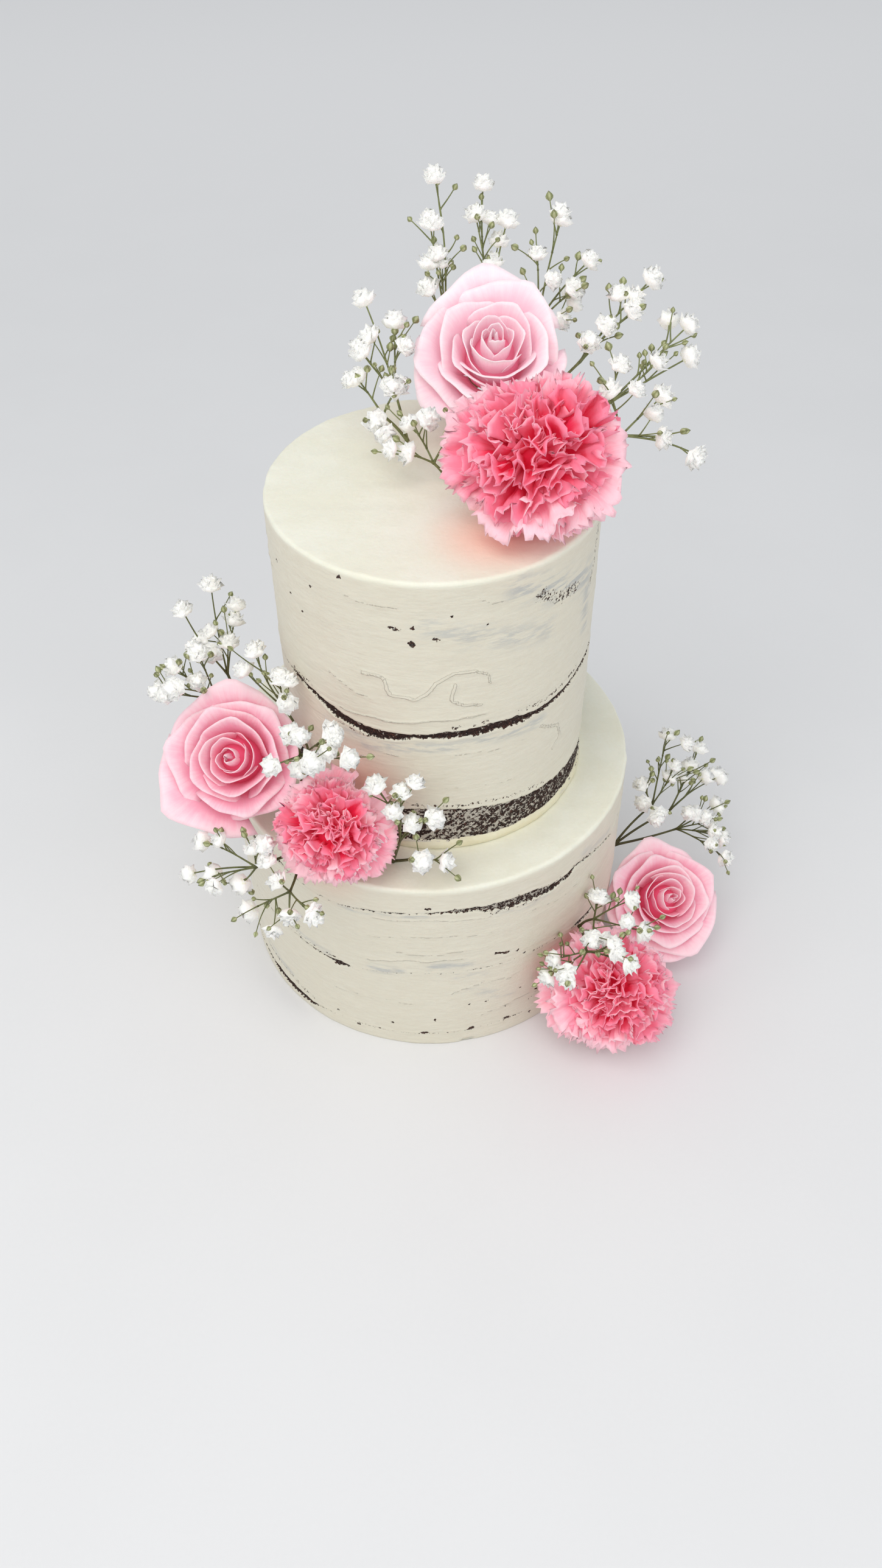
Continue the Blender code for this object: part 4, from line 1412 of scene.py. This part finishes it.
@dataclass(frozen=True)
class Rose(Head):
    """A full rose: a tight whorl of rolled petals inside wide ones whose rims roll out to a point."""

    petals: int = 21
    rows: int = 16
    columns: int = 21
    slot = Slot.ROSE
    cup = (-0.76, 0.20, 0.24, 5, 0.34)
    neck = -0.72

    def blossom(self) -> Surface:
        """Works out the petals.

        Returns:
            For a petal's share s of the order, share v from foot to rim and u from side to side:
            the petal stands on a bell of radius belly times the root of 1 less (1 - v) squared,
            rolls out by curl times v to the fifth, rises to its rim by v to the power 1.15, drops
            at its sides by u to the power 2.4, and points at its middle by a narrow bell curve.
            Each next petal is turned by the golden angle, give or take 20 degrees.
        """
        draw = np.random.default_rng(sum(ord(letter) for letter in self.node))
        order = np.arange(self.petals)[:, None, None]
        s = (0.03 + 0.97 * order / (self.petals - 1))
        jitter = draw.uniform(-1.0, 1.0, (6, self.petals, 1, 1))
        share = np.linspace(0.0, 1.0, self.rows)[None, :, None]
        u = np.linspace(-1.0, 1.0, self.columns)[None, None, :]
        v = 0.20 + 0.80 * share ** 0.85
        belly = (0.055 + 0.745 * s ** 1.2) * (1 + 0.07 * jitter[0])
        rim = 0.50 - 0.38 * s ** 1.5 + 0.04 * jitter[0]
        curl = -0.06 + 0.31 * s ** 1.2 + 0.03 * jitter[1]
        half = np.radians(122.0 - 61.0 * s ** 0.7 + 8.0 * jitter[2])
        turn = np.radians(order * GOLDEN_ANGLE + 20.0 * jitter[3])
        point = np.exp(-(np.abs(u - 0.10 * jitter[4]) / 0.24) ** 1.4)
        radius = belly * np.sqrt(np.clip(1 - (1 - v) ** 2, 0, 1))
        radius = radius + curl * v ** 5 * (1 + 0.35 * (1 - s) * u ** 2)
        radius = radius + 0.035 * u * v + 0.19 * s ** 2 * point * v ** 6
        radius = radius + 0.014 * s * v ** 3 * np.sin(3.4 * math.pi * u + 3 * jitter[5])
        height = -0.60 + (rim + 0.60) * v ** 1.15 - 0.32 * np.abs(u) ** 2.4 * v ** 2 * (rim + 0.60)
        height = height - 0.11 * s * v ** 7 + 0.065 * s ** 0.7 * point * v ** 5
        height = height + 0.012 * v ** 3 * np.sin(5.0 * math.pi * u + 4 * jitter[4])
        angle = turn + u * half * (0.72 + 0.28 * v)
        grid = polar(radius, angle, height)
        thickness = 0.017 - 0.006 * share + 0 * angle
        tone = 0.5 + 0.28 * jitter[2] + 0.12 * (s - 0.5)
        along = 0.12 + 0.88 * share ** 1.2
        values = {"along": along + 0 * angle, "across": u + 0 * angle, "tone": tone + 0 * angle}
        return sheets(grid, thickness, values)

    def heart(self) -> Surface:
        """Works out the closed core that the petals wrap.

        Returns:
            A deep bell, hidden but for its crevices.
        """
        share = np.linspace(0.0, 1.0, 10)
        path = np.stack([np.zeros(10), np.zeros(10), -0.62 + 0.92 * share], axis=-1)
        radii = 0.46 * np.sin(np.pi * (0.12 + 0.86 * share)) ** 0.8 * (1 - 0.55 * share)
        zero = np.zeros((1, 10))
        return rods(path[None], radii[None], 18, {"along": zero, "across": zero, "tone": zero + 0.4})


@dataclass(frozen=True)
class Carnation(Head):
    """A carnation: fan petals with toothed, ruffled rims, flat outside and crumpled in the middle."""

    petals: int = 46
    rows: int = 11
    columns: int = 43
    crease_seed: int = 400
    slot = Slot.CARNATION
    cup = (-0.62, 0.18, 0.42, 5, 0.06)
    neck = -0.56

    def blossom(self) -> Surface:
        """Works out the petals.

        Returns:
            For a petal with elevation e, share v from claw to rim and u from side to side: the
            point lies on a fan that opens as v grows, at reach times v from the head's middle,
            is moved square to the fan by two sine waves of u that grow with v, droops by the power
            2.5 of its share of the way out, and is crumpled by noise. Every second point of the rim
            stands out as a tooth, and random notches are cut in it. The reach swings in two and in
            three lobes round the head. Petals follow a golden spiral from the outside up, and the
            inner ones are twisted at random.
        """
        draw = np.random.default_rng(sum(ord(letter) for letter in self.node) + 7)
        order = np.arange(self.petals)
        lift = (order + 0.5) / self.petals
        elevation = np.arcsin(-0.26 + 1.25 * lift ** 0.80)
        shape = (self.petals, 1, 1)
        jitter = draw.uniform(-1.0, 1.0, (8,) + shape)
        e = elevation.reshape(shape) + 0.20 * jitter[0]
        turn = np.radians(order * GOLDEN_ANGLE).reshape(shape) + 0.12 * jitter[1]
        inner = smooth(lift, 0.15, 0.75).reshape(shape)
        twist = jitter[2] * (0.26 + 1.2 * inner)
        share = np.linspace(0.0, 1.0, self.rows)[None, :, None]
        u = np.linspace(-1.0, 1.0, self.columns)[None, None, :]
        v = 0.16 + 0.84 * share ** 0.8
        reach = 0.98 - 0.24 * smooth(elevation, 0.0, 1.5).reshape(shape) + 0.17 * jitter[3]
        swing = (0.5 * math.pi + draw.uniform(-0.6, 0.6), draw.uniform(0, 2 * math.pi))
        reach = reach * (1 + 0.06 * np.sin(2 * turn + swing[0]) + 0.06 * np.sin(3 * turn + swing[1]))
        wide = np.radians(44.0 - 12.0 * inner + 8.0 * jitter[4]) * (0.40 + 0.60 * v)
        teeth = np.where(np.arange(self.columns) % 2 == 0, 1.0, -1.0)[None, None, :]
        corner = 1 - 0.13 * np.abs(u) ** 3
        notch = draw.uniform(-1.0, 1.0, (self.petals, 1, self.columns))
        length = reach * v * corner * (1 + (0.020 * teeth + 0.045 * notch) * share ** 8)
        out = np.stack([np.cos(turn), np.sin(turn), 0 * turn], axis=-1)
        aside = np.stack([-np.sin(turn), np.cos(turn), 0 * turn], axis=-1)
        up = np.array([0.0, 0.0, 1.0])
        ce, se = np.cos(e)[..., None], np.sin(e)[..., None]
        ahead = ce * out + se * up
        normal = -se * out + ce * up
        ct, st = np.cos(twist)[..., None], np.sin(twist)[..., None]
        across = ct * aside + st * normal
        square = -st * aside + ct * normal
        spread = u * wide
        grid = length[..., None] * (np.cos(spread)[..., None] * ahead + np.sin(spread)[..., None] * across)
        wave = np.sin(2.7 * math.pi * u + 3 * jitter[6]) + 0.50 * np.sin(5.9 * math.pi * u + 3 * jitter[7])
        wave = wave * (0.058 + 0.080 * inner) * share ** 1.4
        cup = (0.10 * (1 - inner) + 0.16 * inner * jitter[5]) * share * u ** 2
        grid = grid + (wave + cup)[..., None] * square
        droop = (0.14 * (1 - inner) * share ** 2.5)[..., None] * up
        grid = grid - droop
        apart = 50.0 * order.reshape(shape)[..., None]
        seeds = range(self.crease_seed, self.crease_seed + 3)
        crease = [ripple(grid * 31.0 + apart, 4.2, seed, 2) for seed in seeds]
        grid = grid + 0.085 * share[..., None] * np.stack(crease, axis=-1)
        thickness = 0.013 - 0.004 * share + 0 * grid[..., 0]
        tone = 0.5 + 0.22 * jitter[6] + 0.52 * (0.5 - inner)
        depth = 0.03 + 0.97 * share ** (1.0 + 0.7 * inner)
        values = {"along": depth + 0 * wave, "across": u + 0 * wave, "tone": tone + 0 * wave}
        return sheets(grid, thickness, values)

    def heart(self) -> Surface:
        """Works out the core under the petals.

        Returns:
            A closed round form.
        """
        share = np.linspace(0.0, 1.0, 10)
        path = np.stack([np.zeros(10), np.zeros(10), -0.34 + 0.78 * share], axis=-1)
        radii = 0.34 * np.sin(np.pi * (0.08 + 0.84 * share)) ** 0.6
        zero = np.zeros((1, 10))
        return rods(path[None], radii[None], 18, {"along": zero, "across": zero, "tone": zero + 0.4})


ROSES = (
    Rose("rose_top", (27.0, 38.0, 286.5), 60.0, (0.02, -0.60, 0.80), (26.0, 42.0, 254.0)),
    Rose("rose_left", (-80.4, -49.1, 149.8), 58.4, (-0.05, -0.68, 0.73), (-76.0, -30.0, 115.1)),
    Rose("rose_right", (117.0, -27.5, 31.5), 58.0, (0.15, -0.55, 0.80), (91.0, -16.0, 14.0)),
)
CARNATIONS = (
    Carnation("carnation_top", (41.0, -27.4, 278.6), 62.5, (0.05, -0.68, 0.73), (38.0, -12.0, 254.0)),
    Carnation("carnation_left", (-36.5, -81.2, 141.5), 46.5, (-0.20, -0.75, 0.63), (-33.0, -68.5, 115.1)),
    Carnation("carnation_right", (84.9, -83.0, 33.0), 57.0, (0.20, -0.72, 0.66), (75.8, -53.2, 8.0)),
)


@dataclass(frozen=True)
class Spray:
    """One spray: where it is stuck in, and its limbs as a fork and the tips it divides to."""

    node: str
    foot: Point
    limbs: tuple[tuple[Point, tuple[Point, ...]], ...]


SPRAYS = (
    Spray("spray_top_back_left", (12, 54, 254.0), (
        ((8, 74, 284), ((4, 80, 337), (2, 78, 321), (5, 76, 309), (1, 72, 297))),
        ((27, 74, 282), ((23, 88, 331), (20, 84, 321), (33, 86, 318), (27, 82, 303))))),
    Spray("spray_top_back_right", (42, 46, 254.0), (
        ((46, 74, 281), ((54, 82, 320), (45, 80, 307), (66, 76, 306), (60, 70, 297), (56, 68, 285))),
        ((62, 48, 277), ((88, 52, 309), (81, 46, 299), (71, 44, 294), (64, 38, 290))))),
    Spray("spray_top_right", (57, 12, 254.0), (
        ((72, 24, 272), ((102, 40, 296), (103, 34, 286), (90, 30, 286), (75, 24, 288))),
        ((76, 10, 266), ((92, 20, 277), (92, 8, 266), (105, 2, 262), (70, 12, 284))))),
    Spray("spray_top_left", (-7, 26, 254.0), (
        ((-11, 30, 272), ((-23, 44, 305), (-11, 42, 297), (-25, 34, 290))),
        ((-16, 22, 268), ((-26, 26, 282), (-9, 18, 283), (-18, 10, 272))))),
    Spray("spray_top_front", (9, -2, 254.0), (
        ((4, -3, 262), ((-5, 7, 273), (-6, -6, 268), (16, -4, 280))),)),
    Spray("spray_left_back", (-78, -4, 115.1), (
        ((-88, -4, 158), ((-92, 10, 196), (-102, -6, 195), (-84, 8, 179), (-86, -1, 174))),
        ((-92, -14, 152), ((-105, -26, 181), (-110, -36, 176), (-102, -41, 182), (-94, -23, 186))))),
    Spray("spray_left_mid", (-58, -57, 115.1), (
        ((-63, -42, 165), ((-69, -32, 194), (-58, -42, 189), (-74, -34, 186), (-55, -49, 181))),
        ((-50, -64, 166), ((-51, -71, 185), (-58, -84, 180), (-42, -84, 182), (-35, -72, 187),
                           (-28, -82, 182))))),
    Spray("spray_left_right", (-14, -76, 115.1), (
        ((-10, -82, 136), ((-19, -80, 166), (-9, -82, 164), (-5, -85, 149), (4, -84, 151))),
        ((-3, -84, 127), ((9, -86, 127), (-1, -92, 134))))),
    Spray("spray_left_low", (-54, -69, 115.1), (
        ((-69, -90, 128), ((-94, -73, 125), (-70, -84, 133), (-100, -82, 114), (-89, -85, 117),
                           (-77, -89, 116))),
        ((-55, -98, 122), ((-60, -97, 128), (-74, -96, 107), (-55, -106, 116), (-44, -111, 122))))),
    Spray("spray_right_back", (92.5, 1, 39.5), (
        ((112, 12, 58), ((120, 38, 82), (105, 12, 73), (121, 22, 68), (112, -4, 68))),
        ((122, 14, 52), ((137, 38, 73), (133, 32, 66), (142, 34, 56), (151, 38, 52))),
        ((126, 10, 42), ((133, 8, 56), (148, 22, 47), (144, 14, 43), (150, 6, 39), (148, -10, 42))))),
    Spray("spray_right_front", (70, -60.5, 52.0), (
        ((76, -66, 64), ((78, -62, 75), (92, -66, 78), (74, -80, 67), (97, -78, 70))),
        ((72, -82, 60), ((84, -89, 69), (90, -93, 66), (57, -84, 57), (54, -88, 49), (64, -94, 54))))),
)
TWIG_CLEARANCE = 2.2
BLOOM_RADIUS = 4.6
BLOOM_CLEARANCE = 0.8
BUD_RADIUS = 1.25
BUD_CLEARANCE = 1.9
ROOT_LENGTH = 0.7
TWIG_STEPS = 13
LIMB_RADII = (0.72, 0.52)
TIP_RADII = (0.46, 0.28)
SIDE_RADII = (0.32, 0.20)


def pushed_clear(point: Vector, reach: float) -> Vector:
    """Moves a point out of the tiers and of the flower heads, as the solids' own sprays are.

    Args:
        point: a place in millimetres.
        reach: how far it stays off.

    Returns:
        The point, moved up or straight out of a tier, then straight out of each head's sphere.
    """
    tiers = (
        ((0.0, 0.0), LOWER_RADIUS, 0.0, LOWER_HEIGHT),
        (UPPER_CENTRE, UPPER_RADIUS, LOWER_HEIGHT, CAKE_TOP),
    )
    for centre, radius, foot, head in tiers:
        away = Vector((point.x - centre[0], point.y - centre[1], 0.0))
        side_gap = radius + reach - away.length
        top_gap = head + reach - point.z
        if side_gap > 0 and top_gap > 0 and point.z > foot - reach:
            if top_gap < side_gap:
                point = Vector((point.x, point.y, head + reach))
            else:
                point = point + away.normalized() * side_gap
    for head in ROSES + CARNATIONS:
        away = point - Vector(head.centre)
        gap = 0.5 * head.width + reach - away.length
        if gap > 0:
            point = point + away.normalized() * gap
    return point


def twig_path(start: Vector, end: Vector) -> list[Vector]:
    """Leads a twig round what it would pass through at two places on its way.

    Args:
        start: where it begins.
        end: where it ends.

    Returns:
        The corners of its way, the first being start and the last end.
    """
    path = [start]
    for share in (0.3, 0.6):
        place = start.lerp(end, share)
        moved = pushed_clear(place, TWIG_CLEARANCE)
        if (moved - place).length > 0.9:
            path.append(moved)
    return path + [end]


def eased_path(path: Sequence[Vector], steps: int, bend: Vector) -> Array:
    """Spreads points evenly along a broken line, rounds its corners and bows it.

    Args:
        path: corners of the line.
        steps: how many points.
        bend: how far its middle bows.

    Returns:
        The points, each set three times to half of itself and a quarter of each neighbour, then
        moved by the bend times the sine of its share.
    """
    corners = np.array([tuple(corner) for corner in path])
    gaps = np.linalg.norm(np.diff(corners, axis=0), axis=1)
    places = np.concatenate([[0.0], np.cumsum(gaps)])
    wanted = np.linspace(0.0, places[-1], steps)
    points = np.stack([np.interp(wanted, places, corners[:, axis]) for axis in range(3)], axis=-1)
    for _ in range(3):
        points[1:-1] = 0.25 * points[:-2] + 0.5 * points[1:-1] + 0.25 * points[2:]
    return points + np.sin(np.linspace(0.0, math.pi, steps))[:, None] * np.array(bend)


@dataclass
class Cluster:
    """The sprays of one flower group: its twigs, its small white blossoms and its buds.

    Age is how brown its twigs are, side_blooms the share of its long twigs that bear a side
    blossom, and buds the number of its side twigs with a bud.
    """

    name: str
    seed: int
    age: float
    side_blooms: float
    buds: int
    twigs: list[tuple[Array, Array]] = field(default_factory=list)
    blooms: list[tuple[Vector, Vector, float]] = field(default_factory=list)
    tips: list[tuple[Vector, Vector, float]] = field(default_factory=list)

    @property
    def sprays(self) -> tuple[Spray, ...]:
        """Returns the sprays whose names start with the cluster's."""
        return tuple(spray for spray in SPRAYS if spray.node.startswith(self.name))

    def twig(self, draw: random.Random, path: Sequence[Vector], thick: float, thin: float) -> Array:
        """Adds one twig and returns its points.

        Args:
            draw: the cluster's random numbers.
            path: its corners.
            thick: radius at its start in millimetres.
            thin: radius at its end.

        Returns:
            The points along the twig.
        """
        length = sum((b - a).length for a, b in zip(path[:-1], path[1:]))
        bend = Vector((draw.uniform(-1, 1), draw.uniform(-1, 1), draw.uniform(-0.3, 1.0))) * 0.04 * length
        points = eased_path(path, TWIG_STEPS, bend)
        share = np.linspace(0.0, 1.0, TWIG_STEPS)
        knob = 0.55 * np.exp(-((share / 0.05) ** 2)) + 0.35 * np.exp(-(((1 - share) / 0.06) ** 2))
        self.twigs.append((points, (thick + (thin - thick) * share) * (1 + knob)))
        return points

    def side_twig(self, draw: random.Random, points: Array, size: float, bud: bool) -> None:
        """Adds a side twig that leaves a twig part of the way up and ends in a blossom or buds.

        Args:
            draw: the cluster's random numbers.
            points: points of the twig that it leaves.
            size: its length in millimetres.
            bud: whether it ends in buds.
        """
        step = draw.randint(4, 10)
        start = Vector(points[step])
        ahead = (Vector(points[step + 1]) - start).normalized()
        stray = Vector((draw.uniform(-1, 1), draw.uniform(-1, 1), draw.uniform(-0.4, 0.9)))
        way = (ahead * 0.9 + stray * 0.9).normalized()
        reach = BUD_CLEARANCE if bud else BLOOM_RADIUS + BLOOM_CLEARANCE
        end = pushed_clear(start + way * size, reach)
        lowest = [value / MM + 1.0 for value in CAD_BOX[0]]
        highest = [value / MM - 1.0 for value in CAD_BOX[1]]
        end = Vector([min(max(end[i], lowest[i] + reach), highest[i] - reach) for i in range(3)])
        line = self.twig(draw, [start, end], *SIDE_RADII)
        tip_way = (Vector(line[-1]) - Vector(line[-3])).normalized()
        if bud:
            self.tips.append((end, tip_way, draw.uniform(0.75, 1.25)))
        else:
            self.blooms.append((end, tip_way, draw.uniform(0.8, 1.02)))

    def grow(self) -> None:
        """Grows every spray: base to fork, fork to tips, then side twigs with blossoms and buds."""
        draw = random.Random(self.seed)
        long_twigs: list[Array] = []
        for spray in self.sprays:
            foot = Vector(spray.foot)
            out = Vector((foot.x, foot.y, 0.0)).normalized()
            if foot.z > LOWER_HEIGHT:
                out = Vector((0.0, 0.0, 1.0))
            base = foot + out * ROOT_LENGTH
            for fork, tips in spray.limbs:
                knot = pushed_clear(Vector(fork), TWIG_CLEARANCE)
                self.twig(draw, twig_path(base, knot), *LIMB_RADII)
                for tip in tips:
                    end = pushed_clear(Vector(tip), BLOOM_RADIUS + BLOOM_CLEARANCE)
                    points = self.twig(draw, twig_path(knot, end), *TIP_RADII)
                    long_twigs.append(points)
                    way = (Vector(points[-1]) - Vector(points[-3])).normalized()
                    self.blooms.append((end, way, draw.uniform(0.94, 1.12)))
        for points in long_twigs:
            if draw.random() < self.side_blooms:
                self.side_twig(draw, points, draw.uniform(8.0, 14.0), False)
        for _ in range(self.buds):
            self.side_twig(draw, draw.choice(long_twigs), draw.uniform(6.0, 16.0), True)

    def twig_surface(self) -> Surface:
        """Works out the twigs.

        Returns:
            Tapered rods, older and browner at their thick ends.
        """
        paths = np.stack([points for points, _ in self.twigs])
        radii = np.stack([radius for _, radius in self.twigs])
        age = self.age * (0.55 + 0.45 * smooth(radii, 0.25, 0.7))
        return rods(paths, radii, 6, {"stripe": 0.25 * (1 - age), "age": age})

    def bloom_surface(self) -> Surface:
        """Works out the blossoms.

        Returns:
            Each is one closed surface of three ruffled rims round one another: rings whose radius
            and height swing with sines of the angle and from lobe to lobe, the inner rims higher,
            with valleys between.
        """
        draw = np.random.default_rng(self.seed)
        count, sides = len(self.blooms), 14
        angle = np.arange(sides) * 2 * math.pi / sides
        flare = np.array([0.26, 0.70, 1.00, 0.66, 0.80, 0.44, 0.50, 0.20])
        rise = np.array([-0.60, -0.44, -0.02, -0.06, 0.36, 0.18, 0.62, 0.56])
        frill = np.array([0.02, 0.12, 0.22, 0.10, 0.22, 0.08, 0.20, 0.10])
        lobe = np.array([0.0, 0.05, 0.12, -0.04, 0.14, -0.05, 0.16, 0.0])
        level = np.array([0.30, 0.80, 1.0, 0.38, 1.0, 0.34, 1.0, 0.55])
        phase = draw.uniform(0, 2 * math.pi, (count, 8, 1))
        wave = np.sin(3 * angle + phase) + 0.7 * np.sin(5 * angle + 2.3 * phase)
        wobble = draw.uniform(-1, 1, (count, 8, sides))
        star = np.where((np.arange(sides)[None] + np.arange(8)[:, None] // 2) % 2 == 0, 1.0, -1.0)
        swell = 1 + 0.4 * frill[None, :, None] * wave + lobe[:, None] * star
        radius = flare[None, :, None] * swell + 0.04 * wobble
        sway = 0.8 * np.sin(4 * angle + 1.7 * phase) + 0.6 * wobble
        height = rise[None, :, None] + frill[None, :, None] * sway
        rings = polar(radius, angle, height)
        poles = np.tile(np.array([[[0.0, 0.0, -0.72], [0.0, 0.0, 0.62]]]), (count, 1, 1))
        turns = np.stack([facing(tuple(way)) for _, way, _ in self.blooms])
        sizes = np.array([size for _, _, size in self.blooms]) * BLOOM_RADIUS
        ends = np.array([tuple(end) for end, _, _ in self.blooms])
        rings = np.einsum("kij,klsj->klsi", turns, rings) * sizes[:, None, None, None] + ends[:, None, None]
        poles = np.einsum("kij,klj->kli", turns, poles) * sizes[:, None, None] + ends[:, None]
        return revolved(rings, poles, {"along": np.tile(level[None, :, None], (count, 1, sides))})

    def bud_surface(self) -> Surface:
        """Works out the buds.

        Returns:
            Small long balls with green and cream stripes and a darker tip.
        """
        count, sides, levels = len(self.tips), 8, 5
        share = np.linspace(0.08, 0.94, levels)
        angle = np.arange(sides) * 2 * math.pi / sides
        radius = np.sin(math.pi * share ** 0.85)[:, None] * (1 + 0.06 * np.cos(4 * angle))[None]
        ring = polar(radius, angle, (2.6 * share - 1.0)[:, None])
        poles = np.array([[0.0, 0.0, -1.05], [0.0, 0.0, 1.62]])
        turns = np.stack([facing(tuple(way)) for _, way, _ in self.tips])
        sizes = np.array([size for _, _, size in self.tips]) * BUD_RADIUS
        ends = np.array([tuple(end) for end, _, _ in self.tips])
        rings = np.einsum("kij,lsj->klsi", turns, ring) * sizes[:, None, None, None] + ends[:, None, None]
        caps = np.einsum("kij,lj->kli", turns, poles) * sizes[:, None, None] + ends[:, None]
        stripe = np.tile(np.where(np.arange(sides) % 2 == 0, 1.0, 0.15), (count, levels, 1))
        age = np.tile((0.8 * smooth(share, 0.8, 1.0))[None, :, None], (count, 1, sides))
        return revolved(rings, caps, {"stripe": stripe, "age": age})

    def build(self, stem: bpy.types.Material, bloom: bpy.types.Material) -> None:
        """Makes the cluster's three pieces.

        Args:
            stem: finish of twigs and buds.
            bloom: finish of the blossoms.
        """
        self.grow()
        nodes = tuple(spray.node for spray in self.sprays)
        make_piece(f"{self.name}_twigs", self.twig_surface(), stem, nodes)
        make_piece(f"{self.name}_blossoms", self.bloom_surface(), bloom, nodes)
        make_piece(f"{self.name}_buds", self.bud_surface(), stem, nodes)


CLUSTERS = (
    Cluster("spray_top", seed=41, age=0.2, side_blooms=0.75, buds=104),
    Cluster("spray_left", seed=42, age=0.7, side_blooms=0.6, buds=84),
    Cluster("spray_right", seed=43, age=0.8, side_blooms=0.9, buds=84),
)


@dataclass(frozen=True)
class Lamp:
    """A square soft light: its place and aim in metres, the length of its side, watts and colour."""

    name: str
    place: Point
    aim: Point
    size: float
    power: float
    colour: Row

    def build(self) -> None:
        """Adds the light, turned from its place to its aim."""
        data = bpy.data.lights.new(self.name, "AREA")
        data.size = self.size
        data.energy = self.power
        data.color = self.colour
        lamp = bpy.data.objects.new(self.name, data)
        turn = (Vector(self.aim) - Vector(self.place)).to_track_quat("-Z", "Y").to_matrix().to_4x4()
        lamp.matrix_world = Matrix.Translation(self.place) @ turn
        bpy.context.scene.collection.objects.link(lamp)


LAMPS = (
    Lamp("key", (-0.36, -0.66, 1.45), (0.0, 0.0, 0.12), 1.2, 9.8, (1.0, 0.98, 0.95)),
    Lamp("low_left", (-0.95, -0.55, 0.45), (-0.05, 0.0, 0.08), 1.0, 1.2, (1.0, 0.99, 0.97)),
    Lamp("fill", (0.75, -0.85, 0.75), (0.0, 0.0, 0.10), 1.2, 3.2, (0.98, 0.98, 1.0)),
)


@dataclass(frozen=True)
class Studio:
    """A wide plain paper floor, soft light from above the camera's left, and the camera."""

    reach: float = 5.0
    air: Colour = (0.93, 0.96, 1.0, 1.0)
    air_strength: float = 0.62
    lens: float = 28.198
    camera_place: Point = (0.0125, -0.4166, 0.5096)
    yaw: float = -0.017
    pitch: float = 0.795
    roll: float = -0.011

    def floor(self, paper: bpy.types.Material) -> None:
        """Makes the floor: a level square grid, its middle under the cake.

        Args:
            paper: its finish.
        """
        line = np.linspace(-self.reach, self.reach, 21)
        across, along = np.meshgrid(line, line)
        grid = np.stack([across, along, np.zeros_like(across)], axis=-1)
        rows, columns = grid.shape[:2]
        index = np.arange(rows * columns).reshape(rows, columns)
        faces = grid_quads(index)
        mesh = bpy.data.meshes.new("studio_floor")
        mesh.from_pydata(grid.reshape(-1, 3).tolist(), [], faces.tolist())
        mesh.materials.append(paper)
        sheet = bpy.data.objects.new("studio_floor", mesh)
        bpy.context.scene.collection.objects.link(sheet)

    def light(self) -> None:
        """Lights the scene: an even pale surround, a large key from above, a weak fill from each side."""
        world = bpy.data.worlds.new("studio_air")
        world.use_nodes = True
        back = world.node_tree.nodes["Background"]
        back.inputs["Color"].default_value = self.air
        back.inputs["Strength"].default_value = self.air_strength
        bpy.context.scene.world = world
        for lamp in LAMPS:
            lamp.build()
        bpy.context.scene.view_settings.view_transform = "Standard"

    def camera(self) -> None:
        """Sets the camera: forward from yaw and pitch, then turned about its own axis by roll."""
        flat = math.cos(self.pitch)
        forward = Vector((math.sin(self.yaw) * flat, math.cos(self.yaw) * flat, -math.sin(self.pitch)))
        level = Vector((math.cos(self.yaw), -math.sin(self.yaw), 0.0))
        upright = level.cross(forward)
        right = math.cos(self.roll) * level + math.sin(self.roll) * upright
        up = -math.sin(self.roll) * level + math.cos(self.roll) * upright
        data = bpy.data.cameras.new("camera")
        data.lens = self.lens
        data.sensor_width = 36.0
        data.sensor_fit = "AUTO"
        data.clip_start = 0.01
        camera = bpy.data.objects.new("camera", data)
        matrix = Matrix((right, up, -forward)).transposed().to_4x4()
        matrix.translation = Vector(self.camera_place)
        camera.matrix_world = matrix
        bpy.context.scene.collection.objects.link(camera)
        bpy.context.scene.camera = camera


def main() -> None:
    """Builds the studio, the finishes, the tiers, the flowers and the sprays, in that order."""
    logging.basicConfig(level=logging.INFO, format="%(message)s")
    groups = {"mottle": mottle_group(), "crumb": crumb_group()}
    cream = CreamFinish("buttercream", subsurface=0.08, depth=0.002).build(groups)
    collar = CreamFinish("collar_cream", subsurface=0.15, depth=0.003, pale=paint(238, 232, 204),
                         deep=paint(230, 221, 188), roughness=0.28).build(groups)
    sponge = SpongeFinish("sponge_crumb", subsurface=0.0, specular=0.25).build(groups)
    rose = PetalFinish("pink_rose_petal", subsurface=0.08, depth=0.0008, specular=0.3)
    pale_rose = replace(rose, name="pale_rose_petal", deep=paint(245, 146, 174),
                        middle=paint(252, 211, 223), pale=paint(255, 236, 240)).build(groups)
    pink_rose = rose.build(groups)
    carnation = replace(rose, name="carnation_petal", depth=0.0006, deep=paint(235, 48, 86),
                        middle=paint(247, 138, 163), pale=paint(254, 206, 215), blush=0.95,
                        veins=34.0, rim_low=0.62, rim_high=1.22).build(groups)
    bloom = BloomFinish("blossom_white", subsurface=0.1, depth=0.001, specular=0.3).build(groups)
    stem = StemFinish("stem_green", subsurface=0.0, specular=0.4).build(groups)
    studio = Studio()
    studio.floor(PaperFinish("studio_paper", subsurface=0.0, specular=0.2).build(groups))
    studio.light()
    studio.camera()
    for tier in (LOWER_TIER, UPPER_TIER):
        tier.build(cream, sponge)
    Collar().build(collar)
    for flower, petal in zip(ROSES, (pale_rose, pink_rose, pink_rose)):
        flower.build(petal, stem)
    for flower in CARNATIONS:
        flower.build(carnation, stem)
    for cluster in CLUSTERS:
        cluster.build(stem, bloom)


if __name__ == "__main__":
    main()
